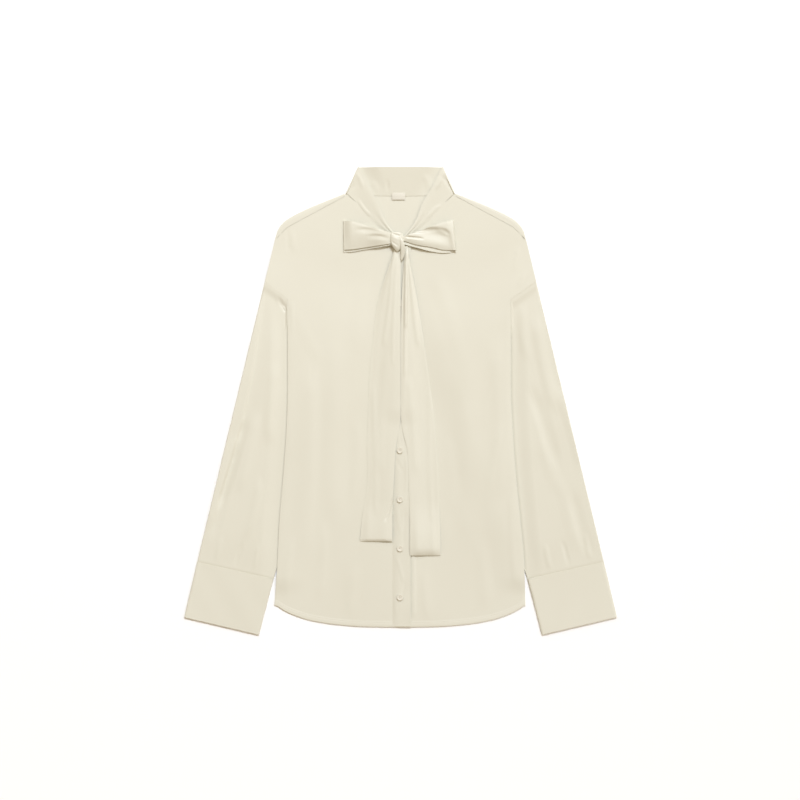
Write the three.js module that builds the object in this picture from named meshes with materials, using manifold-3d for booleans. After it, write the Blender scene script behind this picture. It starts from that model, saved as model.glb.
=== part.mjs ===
import * as THREE from "three";
import Module from "manifold-3d";

// A long-sleeved satin blouse with a tie collar in a bow, laid flat on its back.
// Millimetres. X runs across with the wearer's left at +X, Y runs up from hem to collar, Z is up.
// The origin is on the surface, under the middle of the outline.

// Cloth thickness and the space at a seam
const CLOTH = 1.0;
const DOUBLE = 1.6;
const PLACKET_CLOTH = 1.5;
const SEAM = 0.3;

// Heights of the layers above the surface
const BACK_MID = CLOTH / 2;
const FRONT_MID = BACK_MID + CLOTH + SEAM;
const FRONT_TOP = FRONT_MID + CLOTH / 2;
const PLACKET_MID = FRONT_TOP + SEAM + PLACKET_CLOTH / 2;
const PLACKET_TOP = PLACKET_MID + PLACKET_CLOTH / 2;

// Body: half widths of the side edge at each height, from the hem over the armhole to the shoulder tip
const ARMHOLE_LOW = 168;
const ARMHOLE_HIGH = 198;
const SHOULDER_TIP = 267;
const BODY_EDGE = [
  { y: -340, left: 207.3, right: 209.3 },
  { y: -278, left: 205.3, right: 204.5 },
  { y: -198, left: 198.4, right: 200.6 },
  { y: -132, left: 191.7, right: 195.0 },
  { y: -40, left: 185.1, right: 188.6 },
  { y: 20, left: 182.6, right: 186.8 },
  { y: ARMHOLE_LOW, left: 182.6, right: 186.8 },
  { y: ARMHOLE_HIGH, left: 224.9, right: 224.9 },
  { y: SHOULDER_TIP, left: 208.3, right: 208.3 },
];

// Hem: how far its curve drops below the side corners
const HEM_CORNER = -340;
const HEM_DROP = [
  { x: 0, drop: 35.6 },
  { x: 60, drop: 34.6 },
  { x: 111, drop: 30.6 },
  { x: 150, drop: 24.0 },
  { x: 171, drop: 17.6 },
  { x: 190, drop: 9.6 },
  { x: 200, drop: 3.4 },
  { x: 206, drop: 0 },
];
const HEM_FADE = 170;

// Shoulder outline, and the seam a little forward of it
const NECK_CORNER = 90.5;
const SHOULDER = [
  { x: 90.5, y: 344.9 },
  { x: 178.5, y: 306.7 },
  { x: 196.7, y: 293.4 },
  { x: 205, y: 280.1 },
  { x: 208.3, y: 267 },
];
const SHOULDER_SEAM = [
  { x: 88, y: 341.2 },
  { x: 187.5, y: 287.6 },
  { x: 208.3, y: 267 },
];
const BACK_NECK = [
  { x: 0, y: 339.5 },
  { x: 60, y: 341.1 },
  { x: NECK_CORNER, y: 343.8 },
];
const FOLD_INSET = 1.3;

// Rows and columns of the body panels
const PANEL_ROWS = [
  -340, -325, -300, -265, -225, -180, -135, -90, -45, 0, 40, 68, 88, 104, 118, 132, 148,
  ARMHOLE_LOW, 183, ARMHOLE_HIGH,
];
const FRONT_SHOULDER_ROWS = 7;
const BACK_SHOULDER_ROWS = 4;
const PANEL_COLUMNS = [
  0, 0.072, 0.15, 0.235, 0.335, 0.4345, 0.51, 0.585, 0.66, 0.735, 0.81, 0.88, 0.95, 1,
];

// Front edges: where each front ends below the placket, and its neckline up to the neck corner
const LEFT_FRONT_EDGE = -12.8;
const RIGHT_FRONT_EDGE = 13.2;
const FRONT_EDGE_ROWS = [
  { step: 0, x: null, y: ARMHOLE_HIGH },
  { step: 1, x: null, y: 228 },
  { step: 2, x: null, y: 258 },
  { step: 3, x: 17.5, y: 276 },
  { step: 4, x: 34.6, y: 290.2 },
  { step: 5, x: 57.0, y: 311 },
  { step: 6, x: 67.6, y: 324 },
  { step: 7, x: 88, y: 341.2 },
];
const PLACKET_FROM = -14.1;
const PLACKET_TO = 16.9;
const PLACKET_HIGH = 262;

// Soft upright drapes of the fronts
const DRAPES = [
  { side: 1, x: 112, width: 34, height: 1.5, low: -290, high: 120 },
  { side: 1, x: 156, width: 30, height: 1.2, low: -200, high: 150 },
  { side: -1, x: 104, width: 32, height: 1.3, low: -250, high: 150 },
  { side: -1, x: 150, width: 32, height: 1.5, low: -300, high: 90 },
];

// Sleeves: armhole end, cuff end, and the part that lies below the body
const SLEEVE_FLAT = 2.6;
const SLEEVE_PUFF = 2.4;
const CUFF_HEIGHT = 4.0;
const MOUTH = [
  { part: 0, left: 225.2, right: 225.2, y: 197.2 },
  { part: 0.26, left: 183.1, right: 187.3, y: 167.4 },
  { part: 0.42, left: 183.1, right: 187.3, y: 131 },
  { part: 1, left: 85.5, right: 85.5, y: 88 },
];
const CUFF_SEAM = { outerX: 337.8, outerY: -268.5, innerX: 210.8, innerY: -296.7 };
const CUFF_END = { outerX: 359.1, outerY: -358.8, innerX: 234.6, innerY: -388.0 };
const SLEEVE_STATIONS = [0, 0.03, 0.08, 0.15, 0.23, 0.31, 0.4, 0.48, 0.56, 0.64, 0.72, 0.8, 0.87, 0.94, 1];
const SLEEVE_PARTS = [0.07, 0.16, 0.26, 0.34, 0.42, 0.53, 0.65, 0.77, 0.89];
const SLEEVE_FOLDS = [
  { side: -1, fromX: 231, fromY: 130, toX: 266, toY: -47, width: 17, height: 1.3 },
  { side: -1, fromX: 258, fromY: -42, toX: 298, toY: -182, width: 15, height: -1.5 },
  { side: -1, fromX: 284, fromY: -60, toX: 322, toY: -200, width: 16, height: 1.0 },
  { side: 1, fromX: 228, fromY: 120, toX: 262, toY: -30, width: 17, height: 1.1 },
  { side: 1, fromX: 212, fromY: -4, toX: 250, toY: -90, width: 15, height: -1.3 },
  { side: 1, fromX: 283, fromY: -170, toX: 310, toY: -255, width: 15, height: -1.3 },
];

// The body rises over the tucked part of each sleeve
const BODY_RISE = SLEEVE_FLAT + SEAM;
const RISE_MARGIN = 7;
const RISE_WIDTH = 30;
const RISE_END = { from: -325, to: -292 };

// Collar: a band turned at both sides of the neck, its front ends gathered into the knot
const COLLAR_FRONT_MID = 3.4;
const COLLAR_TOP = 388;
const COLLAR_FRONT = [
  { lowX: 88.6, lowY: 344.0, highX: 68.7, highY: 387.1, gather: 0 },
  { lowX: 68.2, lowY: 323.3, highX: 54.0, highY: 358.1, gather: 0.1 },
  { lowX: 57.8, lowY: 310.0, highX: 36.0, highY: 326.0, gather: 0.4 },
  { lowX: 35.0, lowY: 289.1, highX: 26.0, highY: 300.5, gather: 0.9 },
  { lowX: 17.9, lowY: 275.4, highX: 12.8, highY: 281.0, gather: 1 },
];
const COLLAR_BACK_LOW = [
  { x: 0, y: 339.95 },
  { x: 60, y: 341.5 },
  { x: 88.6, y: 344.0 },
];
const COLLAR_GATHER = 1.0;
const COLLAR_PARTS = 5;

// Bow loops: top edge, and bottom edges of the front and back layer, along the loop
const LOOP_RIGHT = [
  { x: 17.2, top: 278.5, front: 260.2, back: 257.4 },
  { x: 35, top: 283.6, front: 257.6, back: 254.4 },
  { x: 60, top: 291.4, front: 253.8, back: 250.2 },
  { x: 82, top: 297.2, front: 250.8, back: 246.6 },
  { x: 94.3, top: 298.4, front: 250.2, back: 245.8 },
];
const LOOP_LEFT = [
  { x: 6.9, top: 273.4, front: 264.5, back: 258.7 },
  { x: 28, top: 279.8, front: 258.0, back: 253.0 },
  { x: 49.5, top: 288.2, front: 254.4, back: 247.3 },
  { x: 68, top: 295.2, front: 250.2, back: 244.9 },
  { x: 88, top: 299.1, front: 249.4, back: 246.6 },
];
const LOOP_SLANT = { left: 4.0, right: 0 };
const LOOP_NEAR_MID = 6.2;
const LOOP_FAR_MID = FRONT_TOP + SEAM + CLOTH / 2;
const LOOP_GAP = 3.0;
const LOOP_FOLD = 1.0;
const LOOP_PLEATS = [
  { side: -1, fromX: 14, fromY: 272.5, toX: 80, toY: 283.5, width: 5.5, height: 1.6 },
  { side: -1, fromX: 14, fromY: 265.0, toX: 62, toY: 268.0, width: 4.5, height: 1.4 },
  { side: -1, fromX: 20, fromY: 268.8, toX: 56, toY: 275.0, width: 3.5, height: -1.0 },
  { side: 1, fromX: 6, fromY: 270.5, toX: 76, toY: 286.0, width: 5.5, height: 1.8 },
  { side: 1, fromX: 6, fromY: 266.5, toX: 44, toY: 268.0, width: 4.5, height: 1.4 },
  { side: 1, fromX: 24, fromY: 274.0, toX: 82, toY: 279.0, width: 4.0, height: -1.1 },
];

// Knot: sections across it from its top edge to its point
const KNOT_LOW = 8.0;
const KNOT = [
  { y: 279.0, from: -12.6, to: -4.0, top: 10.0 },
  { y: 276.5, from: -15.2, to: 0.5, top: 12.6 },
  { y: 272.0, from: -16.6, to: 4.4, top: 14.2 },
  { y: 266.0, from: -16.6, to: 6.1, top: 14.8 },
  { y: 260.0, from: -16.2, to: 5.6, top: 14.2 },
  { y: 255.0, from: -14.2, to: 3.8, top: 13.0 },
  { y: 250.5, from: -10.8, to: 0.6, top: 11.6 },
  { y: 247.4, from: -7.2, to: -3.0, top: 9.8 },
];
const KNOT_CREASES = [
  { fromX: -15, fromY: 270, toX: 3, toY: 264.5, width: 2.6, height: 1.1 },
  { fromX: -14, fromY: 264, toX: 4, toY: 259, width: 2.4, height: -0.9 },
  { fromX: -9, fromY: 276, toX: 2, toY: 271, width: 2.4, height: -0.8 },
];
const KNOT_FOLD = { x: 3.0, y: 246.5, halfWidth: 3.1, halfLength: 14, low: 8.0, high: 11.2 };

// Tie ends: both edges of each, from below the knot to the free end
const TAIL_RIGHT = [
  { y: 256, outer: -9.5, inner: 0.3 },
  { y: 242, outer: -12.4, inner: 0.3 },
  { y: 215, outer: -22.0, inner: 0.3 },
  { y: 190, outer: -30.2, inner: 0.3 },
  { y: 149, outer: -40.7, inner: 0.3 },
  { y: 98, outer: -46.1, inner: 0.3 },
  { y: 35, outer: -52.0, inner: 0.3 },
  { y: -15, outer: -53.7, inner: 0.3 },
  { y: -50, outer: -54.6, inner: -3.0 },
  { y: -80, outer: -55.4, inner: -8.0 },
  { y: -122, outer: -54.6, inner: -10.4 },
  { y: -198, outer: -63.9, inner: -13.4 },
  { y: -233, outer: -67.2, inner: -13.4 },
];
const TAIL_LEFT = [
  { y: 256, outer: 12.0, inner: 7.0 },
  { y: 235, outer: 14.6, inner: 6.4 },
  { y: 205, outer: 20.5, inner: 4.0 },
  { y: 172, outer: 26.6, inner: 2.2 },
  { y: 121, outer: 35.2, inner: 0.9 },
  { y: 35, outer: 47.6, inner: 0.9 },
  { y: -21, outer: 55.1, inner: 0.9 },
  { y: -50, outer: 58.0, inner: 3.8 },
  { y: -87, outer: 60.8, inner: 12.0 },
  { y: -142, outer: 63.6, inner: 14.1 },
  { y: -203, outer: 65.2, inner: 15.8 },
  { y: -256.5, outer: 66.4, inner: 15.8 },
];
const TAIL_COLUMNS = 8;
const TAIL_ROWS = 20;
const TAIL_LIFT = 3.0;
const TAIL_LIFT_LENGTH = 34;
const TAIL_PLEAT = 1.5;
const TAIL_PLEATS = { full: 222, start: 238, end: 40 };
const OVER_PLACKET = { middle: 1.4, full: 24, end: 42 };
const OVER_BUTTONS = { full: 13, end: 30, low: -62, high: -18 };

// Buttons and label
const BUTTON_RADIUS = 5;
const BUTTON_THICKNESS = 1.7;
const BUTTON_X = -0.8;
const BUTTON_TOP = 242.8;
const BUTTON_PITCH = 81.3;
const BUTTONS = 8;
const LABEL = { x: -3.3, y: 339.1, width: 21.6, height: 11.6, low: 1.95, thickness: 0.8 };

// Colours
const SATIN = { color: 0xe9e4d0, roughness: 0.42 };
const PEARL = { color: 0xe6e0cd, roughness: 0.3 };
const TAG = { color: 0xe4e1d2, roughness: 0.7 };

const wasm = await Module();
wasm.setup();

const clamp01 = (t) => Math.min(Math.max(t, 0), 1);
const smooth = (t) => clamp01(t) ** 2 * (3 - 2 * clamp01(t));
const mix = (a, b, t) => a + (b - a) * t;

// Value of a column of a table at a place between its rows
function lookup(rows, key, column, at) {
  const rising = rows[rows.length - 1][key] > rows[0][key];
  const ordered = rising ? rows : [...rows].reverse();
  if (at <= ordered[0][key]) return ordered[0][column];
  for (let i = 1; i < ordered.length; i++) {
    const a = ordered[i - 1];
    const b = ordered[i];
    if (at <= b[key]) return mix(a[column], b[column], (at - a[key]) / (b[key] - a[key]));
  }
  return ordered[ordered.length - 1][column];
}

// Height of the soft folds at a point: each runs along a line and fades to both sides and ends
function foldsAt(folds, x, y, side) {
  let height = 0;
  for (const f of folds) {
    if (side && f.side !== side) continue;
    const dx = f.toX - f.fromX;
    const dy = f.toY - f.fromY;
    const length = Math.hypot(dx, dy);
    const along = ((x - f.fromX) * dx + (y - f.fromY) * dy) / length;
    const across = Math.abs((x - f.fromX) * dy - (y - f.fromY) * dx) / length;
    const ends = smooth((along + f.width) / (2 * f.width)) * smooth((length + f.width - along) / (2 * f.width));
    height += f.height * ends * (1 - smooth(across / f.width));
  }
  return height;
}

// Closed geometry from points and faces, turned outwards
function closed(points, faces) {
  let volume = 0;
  const [a, b, c] = [new THREE.Vector3(), new THREE.Vector3(), new THREE.Vector3()];
  for (const [i, j, k] of faces) {
    a.copy(points[i]);
    b.copy(points[j]);
    c.copy(points[k]);
    volume += a.dot(b.cross(c));
  }
  const turned = volume < 0 ? faces.map(([i, j, k]) => [i, k, j]) : faces;
  const geometry = new THREE.BufferGeometry().setFromPoints(points);
  geometry.setIndex(turned.flat());
  return geometry;
}

// Cloth: a wall of even thickness on both sides of a grid of points
function wall(grid, thickness) {
  const rows = grid.length;
  const columns = grid[0].length;
  const points = [];
  const faces = [];
  const at = (j, i) => grid[Math.min(Math.max(j, 0), rows - 1)][Math.min(Math.max(i, 0), columns - 1)];
  for (const side of [0.5, -0.5]) {
    for (let j = 0; j < rows; j++) {
      for (let i = 0; i < columns; i++) {
        const across = at(j, i + 1).clone().sub(at(j, i - 1));
        const along = at(j + 1, i).clone().sub(at(j - 1, i));
        const normal = across.cross(along).normalize();
        points.push(grid[j][i].clone().addScaledVector(normal, side * thickness));
      }
    }
  }
  const half = rows * columns;
  const quad = (p, q, r, s) => faces.push([p, q, r], [p, r, s]);
  for (let j = 0; j < rows - 1; j++) {
    for (let i = 0; i < columns - 1; i++) {
      const p = j * columns + i;
      quad(p, p + 1, p + columns + 1, p + columns);
      quad(half + p, half + p + columns, half + p + columns + 1, half + p + 1);
    }
  }
  const rim = [];
  for (let i = 0; i < columns - 1; i++) rim.push(i);
  for (let j = 0; j < rows - 1; j++) rim.push(j * columns + columns - 1);
  for (let i = columns - 1; i > 0; i--) rim.push((rows - 1) * columns + i);
  for (let j = rows - 1; j > 0; j--) rim.push(j * columns);
  rim.forEach((p, n) => {
    const q = rim[(n + 1) % rim.length];
    quad(q, p, half + p, half + q);
  });
  return closed(points, faces);
}

// Open tube: outer and inner rings at each station, closed round both rims
function tube(outerRings, innerRings) {
  const stations = outerRings.length;
  const ring = outerRings[0].length;
  const points = [...outerRings.flat(), ...innerRings.flat()];
  const inner = stations * ring;
  const faces = [];
  const quad = (p, q, r, s) => faces.push([p, q, r], [p, r, s]);
  for (let j = 0; j < stations - 1; j++) {
    for (let i = 0; i < ring; i++) {
      const p = j * ring + i;
      const q = j * ring + ((i + 1) % ring);
      quad(p, q, q + ring, p + ring);
      quad(inner + p, inner + p + ring, inner + q + ring, inner + q);
    }
  }
  for (let i = 0; i < ring; i++) {
    const next = (i + 1) % ring;
    const last = (stations - 1) * ring;
    quad(next, i, inner + i, inner + next);
    quad(last + i, last + next, inner + last + next, inner + last + i);
  }
  return closed(points, faces);
}

// Solid through rings, closed at both ends
function loft(rings) {
  const ring = rings[0].length;
  const points = rings.flat();
  const faces = [];
  for (let j = 0; j < rings.length - 1; j++) {
    for (let i = 0; i < ring; i++) {
      const p = j * ring + i;
      const q = j * ring + ((i + 1) % ring);
      faces.push([p, q, q + ring], [p, q + ring, p + ring]);
    }
  }
  for (const [start, flip] of [[0, true], [(rings.length - 1) * ring, false]]) {
    const centre = rings[start / ring].reduce((sum, p) => sum.add(p), new THREE.Vector3());
    points.push(centre.divideScalar(ring));
    for (let i = 0; i < ring; i++) {
      const p = start + i;
      const q = start + ((i + 1) % ring);
      faces.push(flip ? [points.length - 1, q, p] : [points.length - 1, p, q]);
    }
  }
  return closed(points, faces);
}

function toSolid(geometry) {
  const mesh = new wasm.Mesh({
    numProp: 3,
    vertProperties: new Float32Array(geometry.getAttribute("position").array),
    triVerts: new Uint32Array(geometry.index.array),
  });
  return new wasm.Manifold(mesh);
}

// One geometry from several that overlap
function join(geometries) {
  const mesh = wasm.Manifold.union(geometries.map(toSolid)).getMesh();
  const geometry = new THREE.BufferGeometry();
  geometry.setAttribute("position", new THREE.BufferAttribute(new Float32Array(mesh.vertProperties), 3));
  geometry.setIndex(new THREE.BufferAttribute(new Uint32Array(mesh.triVerts), 1));
  return geometry;
}

const sideName = (side) => (side > 0 ? "left" : "right");

// Distance of a point from the line through two others, positive to the middle of the body
function beyond(x, y, fromX, fromY, toX, toY) {
  const length = Math.hypot(toX - fromX, toY - fromY);
  return ((toX - fromX) * (y - fromY) - (toY - fromY) * (x - fromX)) / length;
}

// Rise of the body over the tucked part of a sleeve
function riseAt(x, y) {
  const [, , low, end] = MOUTH;
  const inward = -beyond(Math.abs(x), y, end.left, end.y, CUFF_SEAM.innerX, CUFF_SEAM.innerY);
  const upward = -beyond(Math.abs(x), y, low.left, low.y, end.left, end.y);
  const side = 1 - smooth((inward - RISE_MARGIN) / RISE_WIDTH);
  const top = 1 - smooth((upward - RISE_MARGIN) / RISE_WIDTH);
  const bottom = smooth((y - RISE_END.from) / (RISE_END.to - RISE_END.from));
  return BODY_RISE * side * top * bottom;
}

// Air between the front and the back below a drape
function drapeAt(x, y) {
  let air = 0;
  for (const d of DRAPES) {
    const across = Math.abs(x * d.side - d.x);
    const ends = smooth((y - d.low) / 80) * smooth((d.high - y) / 80);
    air += d.height * ends * (1 - smooth(across / d.width));
  }
  return air;
}

// Plan of a body panel: across from -1 to 1, height of the side edge
function panelPoint(across, edgeY, side) {
  const halfWidth = lookup(BODY_EDGE, "y", sideName(side), edgeY);
  const x = Math.abs(across) * halfWidth;
  const hem = lookup(HEM_DROP, "x", "drop", x) * smooth((HEM_CORNER + HEM_FADE - edgeY) / HEM_FADE);
  return new THREE.Vector2(x * side, edgeY - hem);
}

// Back panel
function backTop(x) {
  if (x <= NECK_CORNER) return lookup(BACK_NECK, "x", "y", x);
  return lookup(SHOULDER, "x", "y", x) - FOLD_INSET;
}

function backPoint(across, row, side) {
  if (row < PANEL_ROWS.length) {
    const p = panelPoint(across, PANEL_ROWS[row], side);
    return new THREE.Vector3(p.x, p.y, BACK_MID + riseAt(p.x, p.y));
  }
  const part = (row - PANEL_ROWS.length + 1) / BACK_SHOULDER_ROWS;
  const edgeY = mix(ARMHOLE_HIGH, SHOULDER_TIP, part);
  const x = across * lookup(BODY_EDGE, "y", sideName(side), edgeY);
  const y = mix(ARMHOLE_HIGH, backTop(across * 208.3), part);
  return new THREE.Vector3(x * side, y, BACK_MID);
}

function backPanel() {
  const grid = [];
  for (let row = 0; row < PANEL_ROWS.length + BACK_SHOULDER_ROWS; row++) {
    const points = [...PANEL_COLUMNS].reverse().map((u) => backPoint(u, row, -1));
    points.pop();
    grid.push([...points, ...PANEL_COLUMNS.map((u) => backPoint(u, row, 1))]);
  }
  return wall(grid, CLOTH);
}

// Strip of the back that turns forward over the shoulder
function shoulderTurn(side) {
  const grid = [];
  const steps = 8;
  const start = 93;
  const end = 204.6;
  const middle = (BACK_MID + FRONT_MID) / 2;
  const radius = (FRONT_MID - BACK_MID) / 2;
  for (let k = 0; k <= steps; k++) {
    const x = mix(start, end, 1 - (1 - k / steps) ** 1.5);
    const edge = new THREE.Vector2(x, lookup(SHOULDER, "x", "y", x));
    const ahead = new THREE.Vector2(x + 1, lookup(SHOULDER, "x", "y", x + 1));
    const behind = new THREE.Vector2(x - 1, lookup(SHOULDER, "x", "y", x - 1));
    const slope = ahead.sub(behind).normalize();
    const inward = new THREE.Vector2(slope.y, -slope.x);
    let reach = 2;
    for (; reach < 14; reach += 0.1) {
      const p = edge.clone().addScaledVector(inward, reach);
      if (p.y <= lookup(SHOULDER_SEAM, "x", "y", p.x) + SEAM * 2.5) break;
    }
    const row = [];
    const put = (inset, z) => {
      const p = edge.clone().addScaledVector(inward, inset);
      row.push(new THREE.Vector3(p.x * side, p.y, z));
    };
    const turn = CLOTH / 2 + radius;
    put(7, BACK_MID);
    put(turn + 0.6, BACK_MID);
    for (const degrees of [-90, -50, -15, 15, 50, 90]) {
      const angle = THREE.MathUtils.degToRad(degrees);
      put(turn - radius * Math.cos(angle), middle + radius * Math.sin(angle));
    }
    put(Math.max(reach, turn + 0.4), FRONT_MID);
    grid.push(row);
  }
  return wall(grid, CLOTH);
}

// Fronts: the same columns as the back where the body rises, closed in to the front edge and neckline
function frontPoint(column, row, side) {
  const edge = side > 0 ? LEFT_FRONT_EDGE : RIGHT_FRONT_EDGE;
  const columns = frontColumns(side);
  const last = columns.length - 1;
  if (row < PANEL_ROWS.length) {
    const edgeY = PANEL_ROWS[row];
    const p = panelPoint(columns[column], edgeY, side);
    if (column === 0) {
      const drop = lookup(HEM_DROP, "x", "drop", 0) * smooth((HEM_CORNER + HEM_FADE - edgeY) / HEM_FADE);
      p.set(edge * side, edgeY - drop);
    }
    return new THREE.Vector3(p.x, p.y, FRONT_MID + riseAt(p.x, p.y) + drapeAt(p.x, p.y));
  }
  const step = row - PANEL_ROWS.length + 1;
  const part = step / FRONT_SHOULDER_ROWS;
  const inner = FRONT_EDGE_ROWS[step];
  const innerX = inner.x === null ? edge : inner.x;
  const halfWidth = lookup(BODY_EDGE, "y", sideName(side), ARMHOLE_HIGH);
  const share = column === 0 ? 0 : (columns[column] * halfWidth - edge) / (halfWidth - edge);
  const outer = panelPoint(1, mix(ARMHOLE_HIGH, SHOULDER_TIP, part), side);
  const x = mix(innerX, Math.abs(outer.x), share);
  const chord = mix(341.2, SHOULDER_TIP, clamp01((x - 88) / (208.3 - 88)));
  const bulge = column === 0 || column === last ? 0 : lookup(SHOULDER_SEAM, "x", "y", x) - chord;
  const y = mix(inner.y, outer.y, share) + bulge * part ** 2;
  return new THREE.Vector3(x * side, y, FRONT_MID);
}

function frontColumns(side) {
  return side > 0 ? PANEL_COLUMNS : PANEL_COLUMNS.filter((u, i) => i !== 1);
}

function frontPanel(side) {
  const grid = [];
  for (let row = 0; row < PANEL_ROWS.length + FRONT_SHOULDER_ROWS; row++) {
    const points = frontColumns(side).map((u, column) => frontPoint(column, row, side));
    grid.push(side > 0 ? points : points.reverse());
  }
  return wall(grid, CLOTH);
}

function placketStrip() {
  const grid = [];
  const steps = 14;
  const hem = HEM_CORNER - lookup(HEM_DROP, "x", "drop", 0);
  for (let k = 0; k <= steps; k++) {
    const y = mix(hem + 0.2, PLACKET_HIGH, k / steps);
    grid.push([PLACKET_FROM, mix(PLACKET_FROM, PLACKET_TO, 0.5), PLACKET_TO].map(
      (x) => new THREE.Vector3(x, y, PLACKET_MID),
    ));
  }
  return wall(grid, PLACKET_CLOTH);
}

// Sleeve plan: along from armhole to cuff, part from the outer to the inner edge
function sleevePlan(along, part, side) {
  const mouthX = lookup(MOUTH, "part", sideName(side), part);
  const mouthY = lookup(MOUTH, "part", "y", part);
  const seamX = mix(CUFF_SEAM.outerX, CUFF_SEAM.innerX, part);
  const seamY = mix(CUFF_SEAM.outerY, CUFF_SEAM.innerY, part);
  return new THREE.Vector2(mix(mouthX, seamX, along), mix(mouthY, seamY, along));
}

function sleeveHeight(x, y, along, side) {
  const bodyEdge = lookup(BODY_EDGE, "y", sideName(side), Math.min(y, ARMHOLE_LOW));
  const clear = smooth((x - bodyEdge - 8) / 26) * smooth(along / 0.1);
  const puff = mix(SLEEVE_PUFF, CUFF_HEIGHT - SLEEVE_FLAT, smooth((along - 0.86) / 0.14));
  const folds = foldsAt(SLEEVE_FOLDS, x, y, side) * smooth((0.98 - along) / 0.1);
  return SLEEVE_FLAT + clear * Math.min(Math.max(puff + folds, 0.5), 3.6);
}

// Flat tube between two stations given by their plan and height
function flatTube(stations, parts, planAt, heightAt, wallThickness, flat, side) {
  const outerRings = [];
  const innerRings = [];
  const radius = flat / 2;
  const soft = radius * 0.3;
  for (const along of stations) {
    const from = planAt(along, 0);
    const to = planAt(along, 1);
    const first = planAt(along, 0.02).sub(from).normalize();
    const last = planAt(along, 0.98).sub(to).normalize();
    const put = (ring, p, z) => ring.push(new THREE.Vector3(p.x * side, p.y, z));
    const rings = [[], []];
    rings.forEach((ring, isInner) => {
      const inset = isInner ? wallThickness : 0;
      const thin = (z, up) => (isInner ? z + (up ? -wallThickness : wallThickness) : z);
      const turnInset = isInner ? wallThickness + (radius - wallThickness) * 0.3 : soft;
      const turnRise = isInner ? (radius - wallThickness) * 0.75 : radius * 0.72;
      put(ring, from.clone().addScaledVector(first, inset), radius);
      put(ring, from.clone().addScaledVector(first, turnInset), radius + turnRise);
      put(ring, from.clone().addScaledVector(first, radius * 1.1), thin(flat, true));
      for (const part of parts) {
        const p = planAt(along, part);
        put(ring, p, thin(heightAt(p.x, p.y, along), true));
      }
      put(ring, to.clone().addScaledVector(last, radius * 1.1), thin(flat, true));
      put(ring, to.clone().addScaledVector(last, turnInset), radius + turnRise);
      put(ring, to.clone().addScaledVector(last, inset), radius);
      put(ring, to.clone().addScaledVector(last, turnInset), radius - turnRise);
      put(ring, to.clone().addScaledVector(last, radius * 1.1), thin(0, false));
      for (const part of [...parts].reverse()) put(ring, planAt(along, part), thin(0, false));
      put(ring, from.clone().addScaledVector(first, radius * 1.1), thin(0, false));
      put(ring, from.clone().addScaledVector(first, turnInset), radius - turnRise);
    });
    outerRings.push(rings[0]);
    innerRings.push(rings[1]);
  }
  return tube(outerRings, innerRings);
}

function sleeve(side) {
  const plan = (along, part) => sleevePlan(along, part, side);
  const height = (x, y, along) => sleeveHeight(x, y, along, side);
  return flatTube(SLEEVE_STATIONS, SLEEVE_PARTS, plan, height, CLOTH, SLEEVE_FLAT, side);
}

function cuff(side) {
  const start = SEAM / 94;
  const plan = (along, part) => {
    const at = mix(start, 1, along);
    const seam = sleevePlan(1, part, side);
    const x = mix(seam.x, mix(CUFF_END.outerX, CUFF_END.innerX, part), at);
    const y = mix(seam.y, mix(CUFF_END.outerY, CUFF_END.innerY, part), at);
    return new THREE.Vector2(x, y);
  };
  return flatTube([0, 0.5, 1], [0.2, 0.5, 0.8], plan, () => CUFF_HEIGHT, DOUBLE, CUFF_HEIGHT, side);
}

// Collar
function collarRow(low, high, lowZ, highZ, gather) {
  const row = [];
  for (let i = 0; i <= COLLAR_PARTS; i++) {
    const part = i / COLLAR_PARTS;
    const pleat = gather * COLLAR_GATHER * (0.5 - 0.5 * Math.cos(part * 4 * Math.PI));
    row.push(new THREE.Vector3(mix(low.x, high.x, part), mix(low.y, high.y, part), mix(lowZ, highZ, part) + pleat));
  }
  return row;
}

function collarBand() {
  const half = [];
  const lows = new THREE.CatmullRomCurve3(COLLAR_FRONT.map((r) => new THREE.Vector3(r.lowX, r.lowY, 0)));
  const highs = new THREE.CatmullRomCurve3(COLLAR_FRONT.map((r) => new THREE.Vector3(r.highX, r.highY, 0)));
  const steps = 12;
  for (let k = 0; k <= steps; k++) {
    const gather = lookup(COLLAR_FRONT.map((r, i) => ({ at: i / 4, ...r })), "at", "gather", 1 - k / steps);
    const low = lows.getPoint(1 - k / steps);
    const high = highs.getPoint(1 - k / steps);
    half.push(collarRow(low, high, COLLAR_FRONT_MID, COLLAR_FRONT_MID, gather));
  }
  const low = lows.getPoint(0);
  const high = highs.getPoint(0);
  const backMid = DOUBLE / 2;
  const radius = (COLLAR_FRONT_MID - backMid) / 2;
  const edge = high.clone().sub(low).normalize();
  const outward = new THREE.Vector3(edge.y, -edge.x, 0);
  for (const degrees of [60, 30, 0, -30, -60, -90]) {
    const angle = THREE.MathUtils.degToRad(degrees);
    const shift = outward.clone().multiplyScalar(radius * Math.cos(angle));
    const z = backMid + radius + radius * Math.sin(angle);
    half.push(collarRow(low.clone().add(shift), high.clone().add(shift), z, z, 0));
  }
  for (const part of [0.8, 0.6, 0.4, 0.2]) {
    const x = low.x * part;
    const lowAt = new THREE.Vector3(x, lookup(COLLAR_BACK_LOW, "x", "y", x), 0);
    const highAt = new THREE.Vector3(high.x * part, mix(COLLAR_TOP - 0.4, high.y, part ** 3), 0);
    half.push(collarRow(lowAt, highAt, backMid, backMid, 0));
  }
  const centre = collarRow(
    new THREE.Vector3(0, COLLAR_BACK_LOW[0].y, 0),
    new THREE.Vector3(0, COLLAR_TOP - 0.4, 0),
    backMid,
    backMid,
    0,
  );
  const mirrored = half.map((row) => row.map((p) => new THREE.Vector3(-p.x, p.y, p.z))).reverse();
  return wall([...half, centre, ...mirrored], DOUBLE);
}

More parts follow.
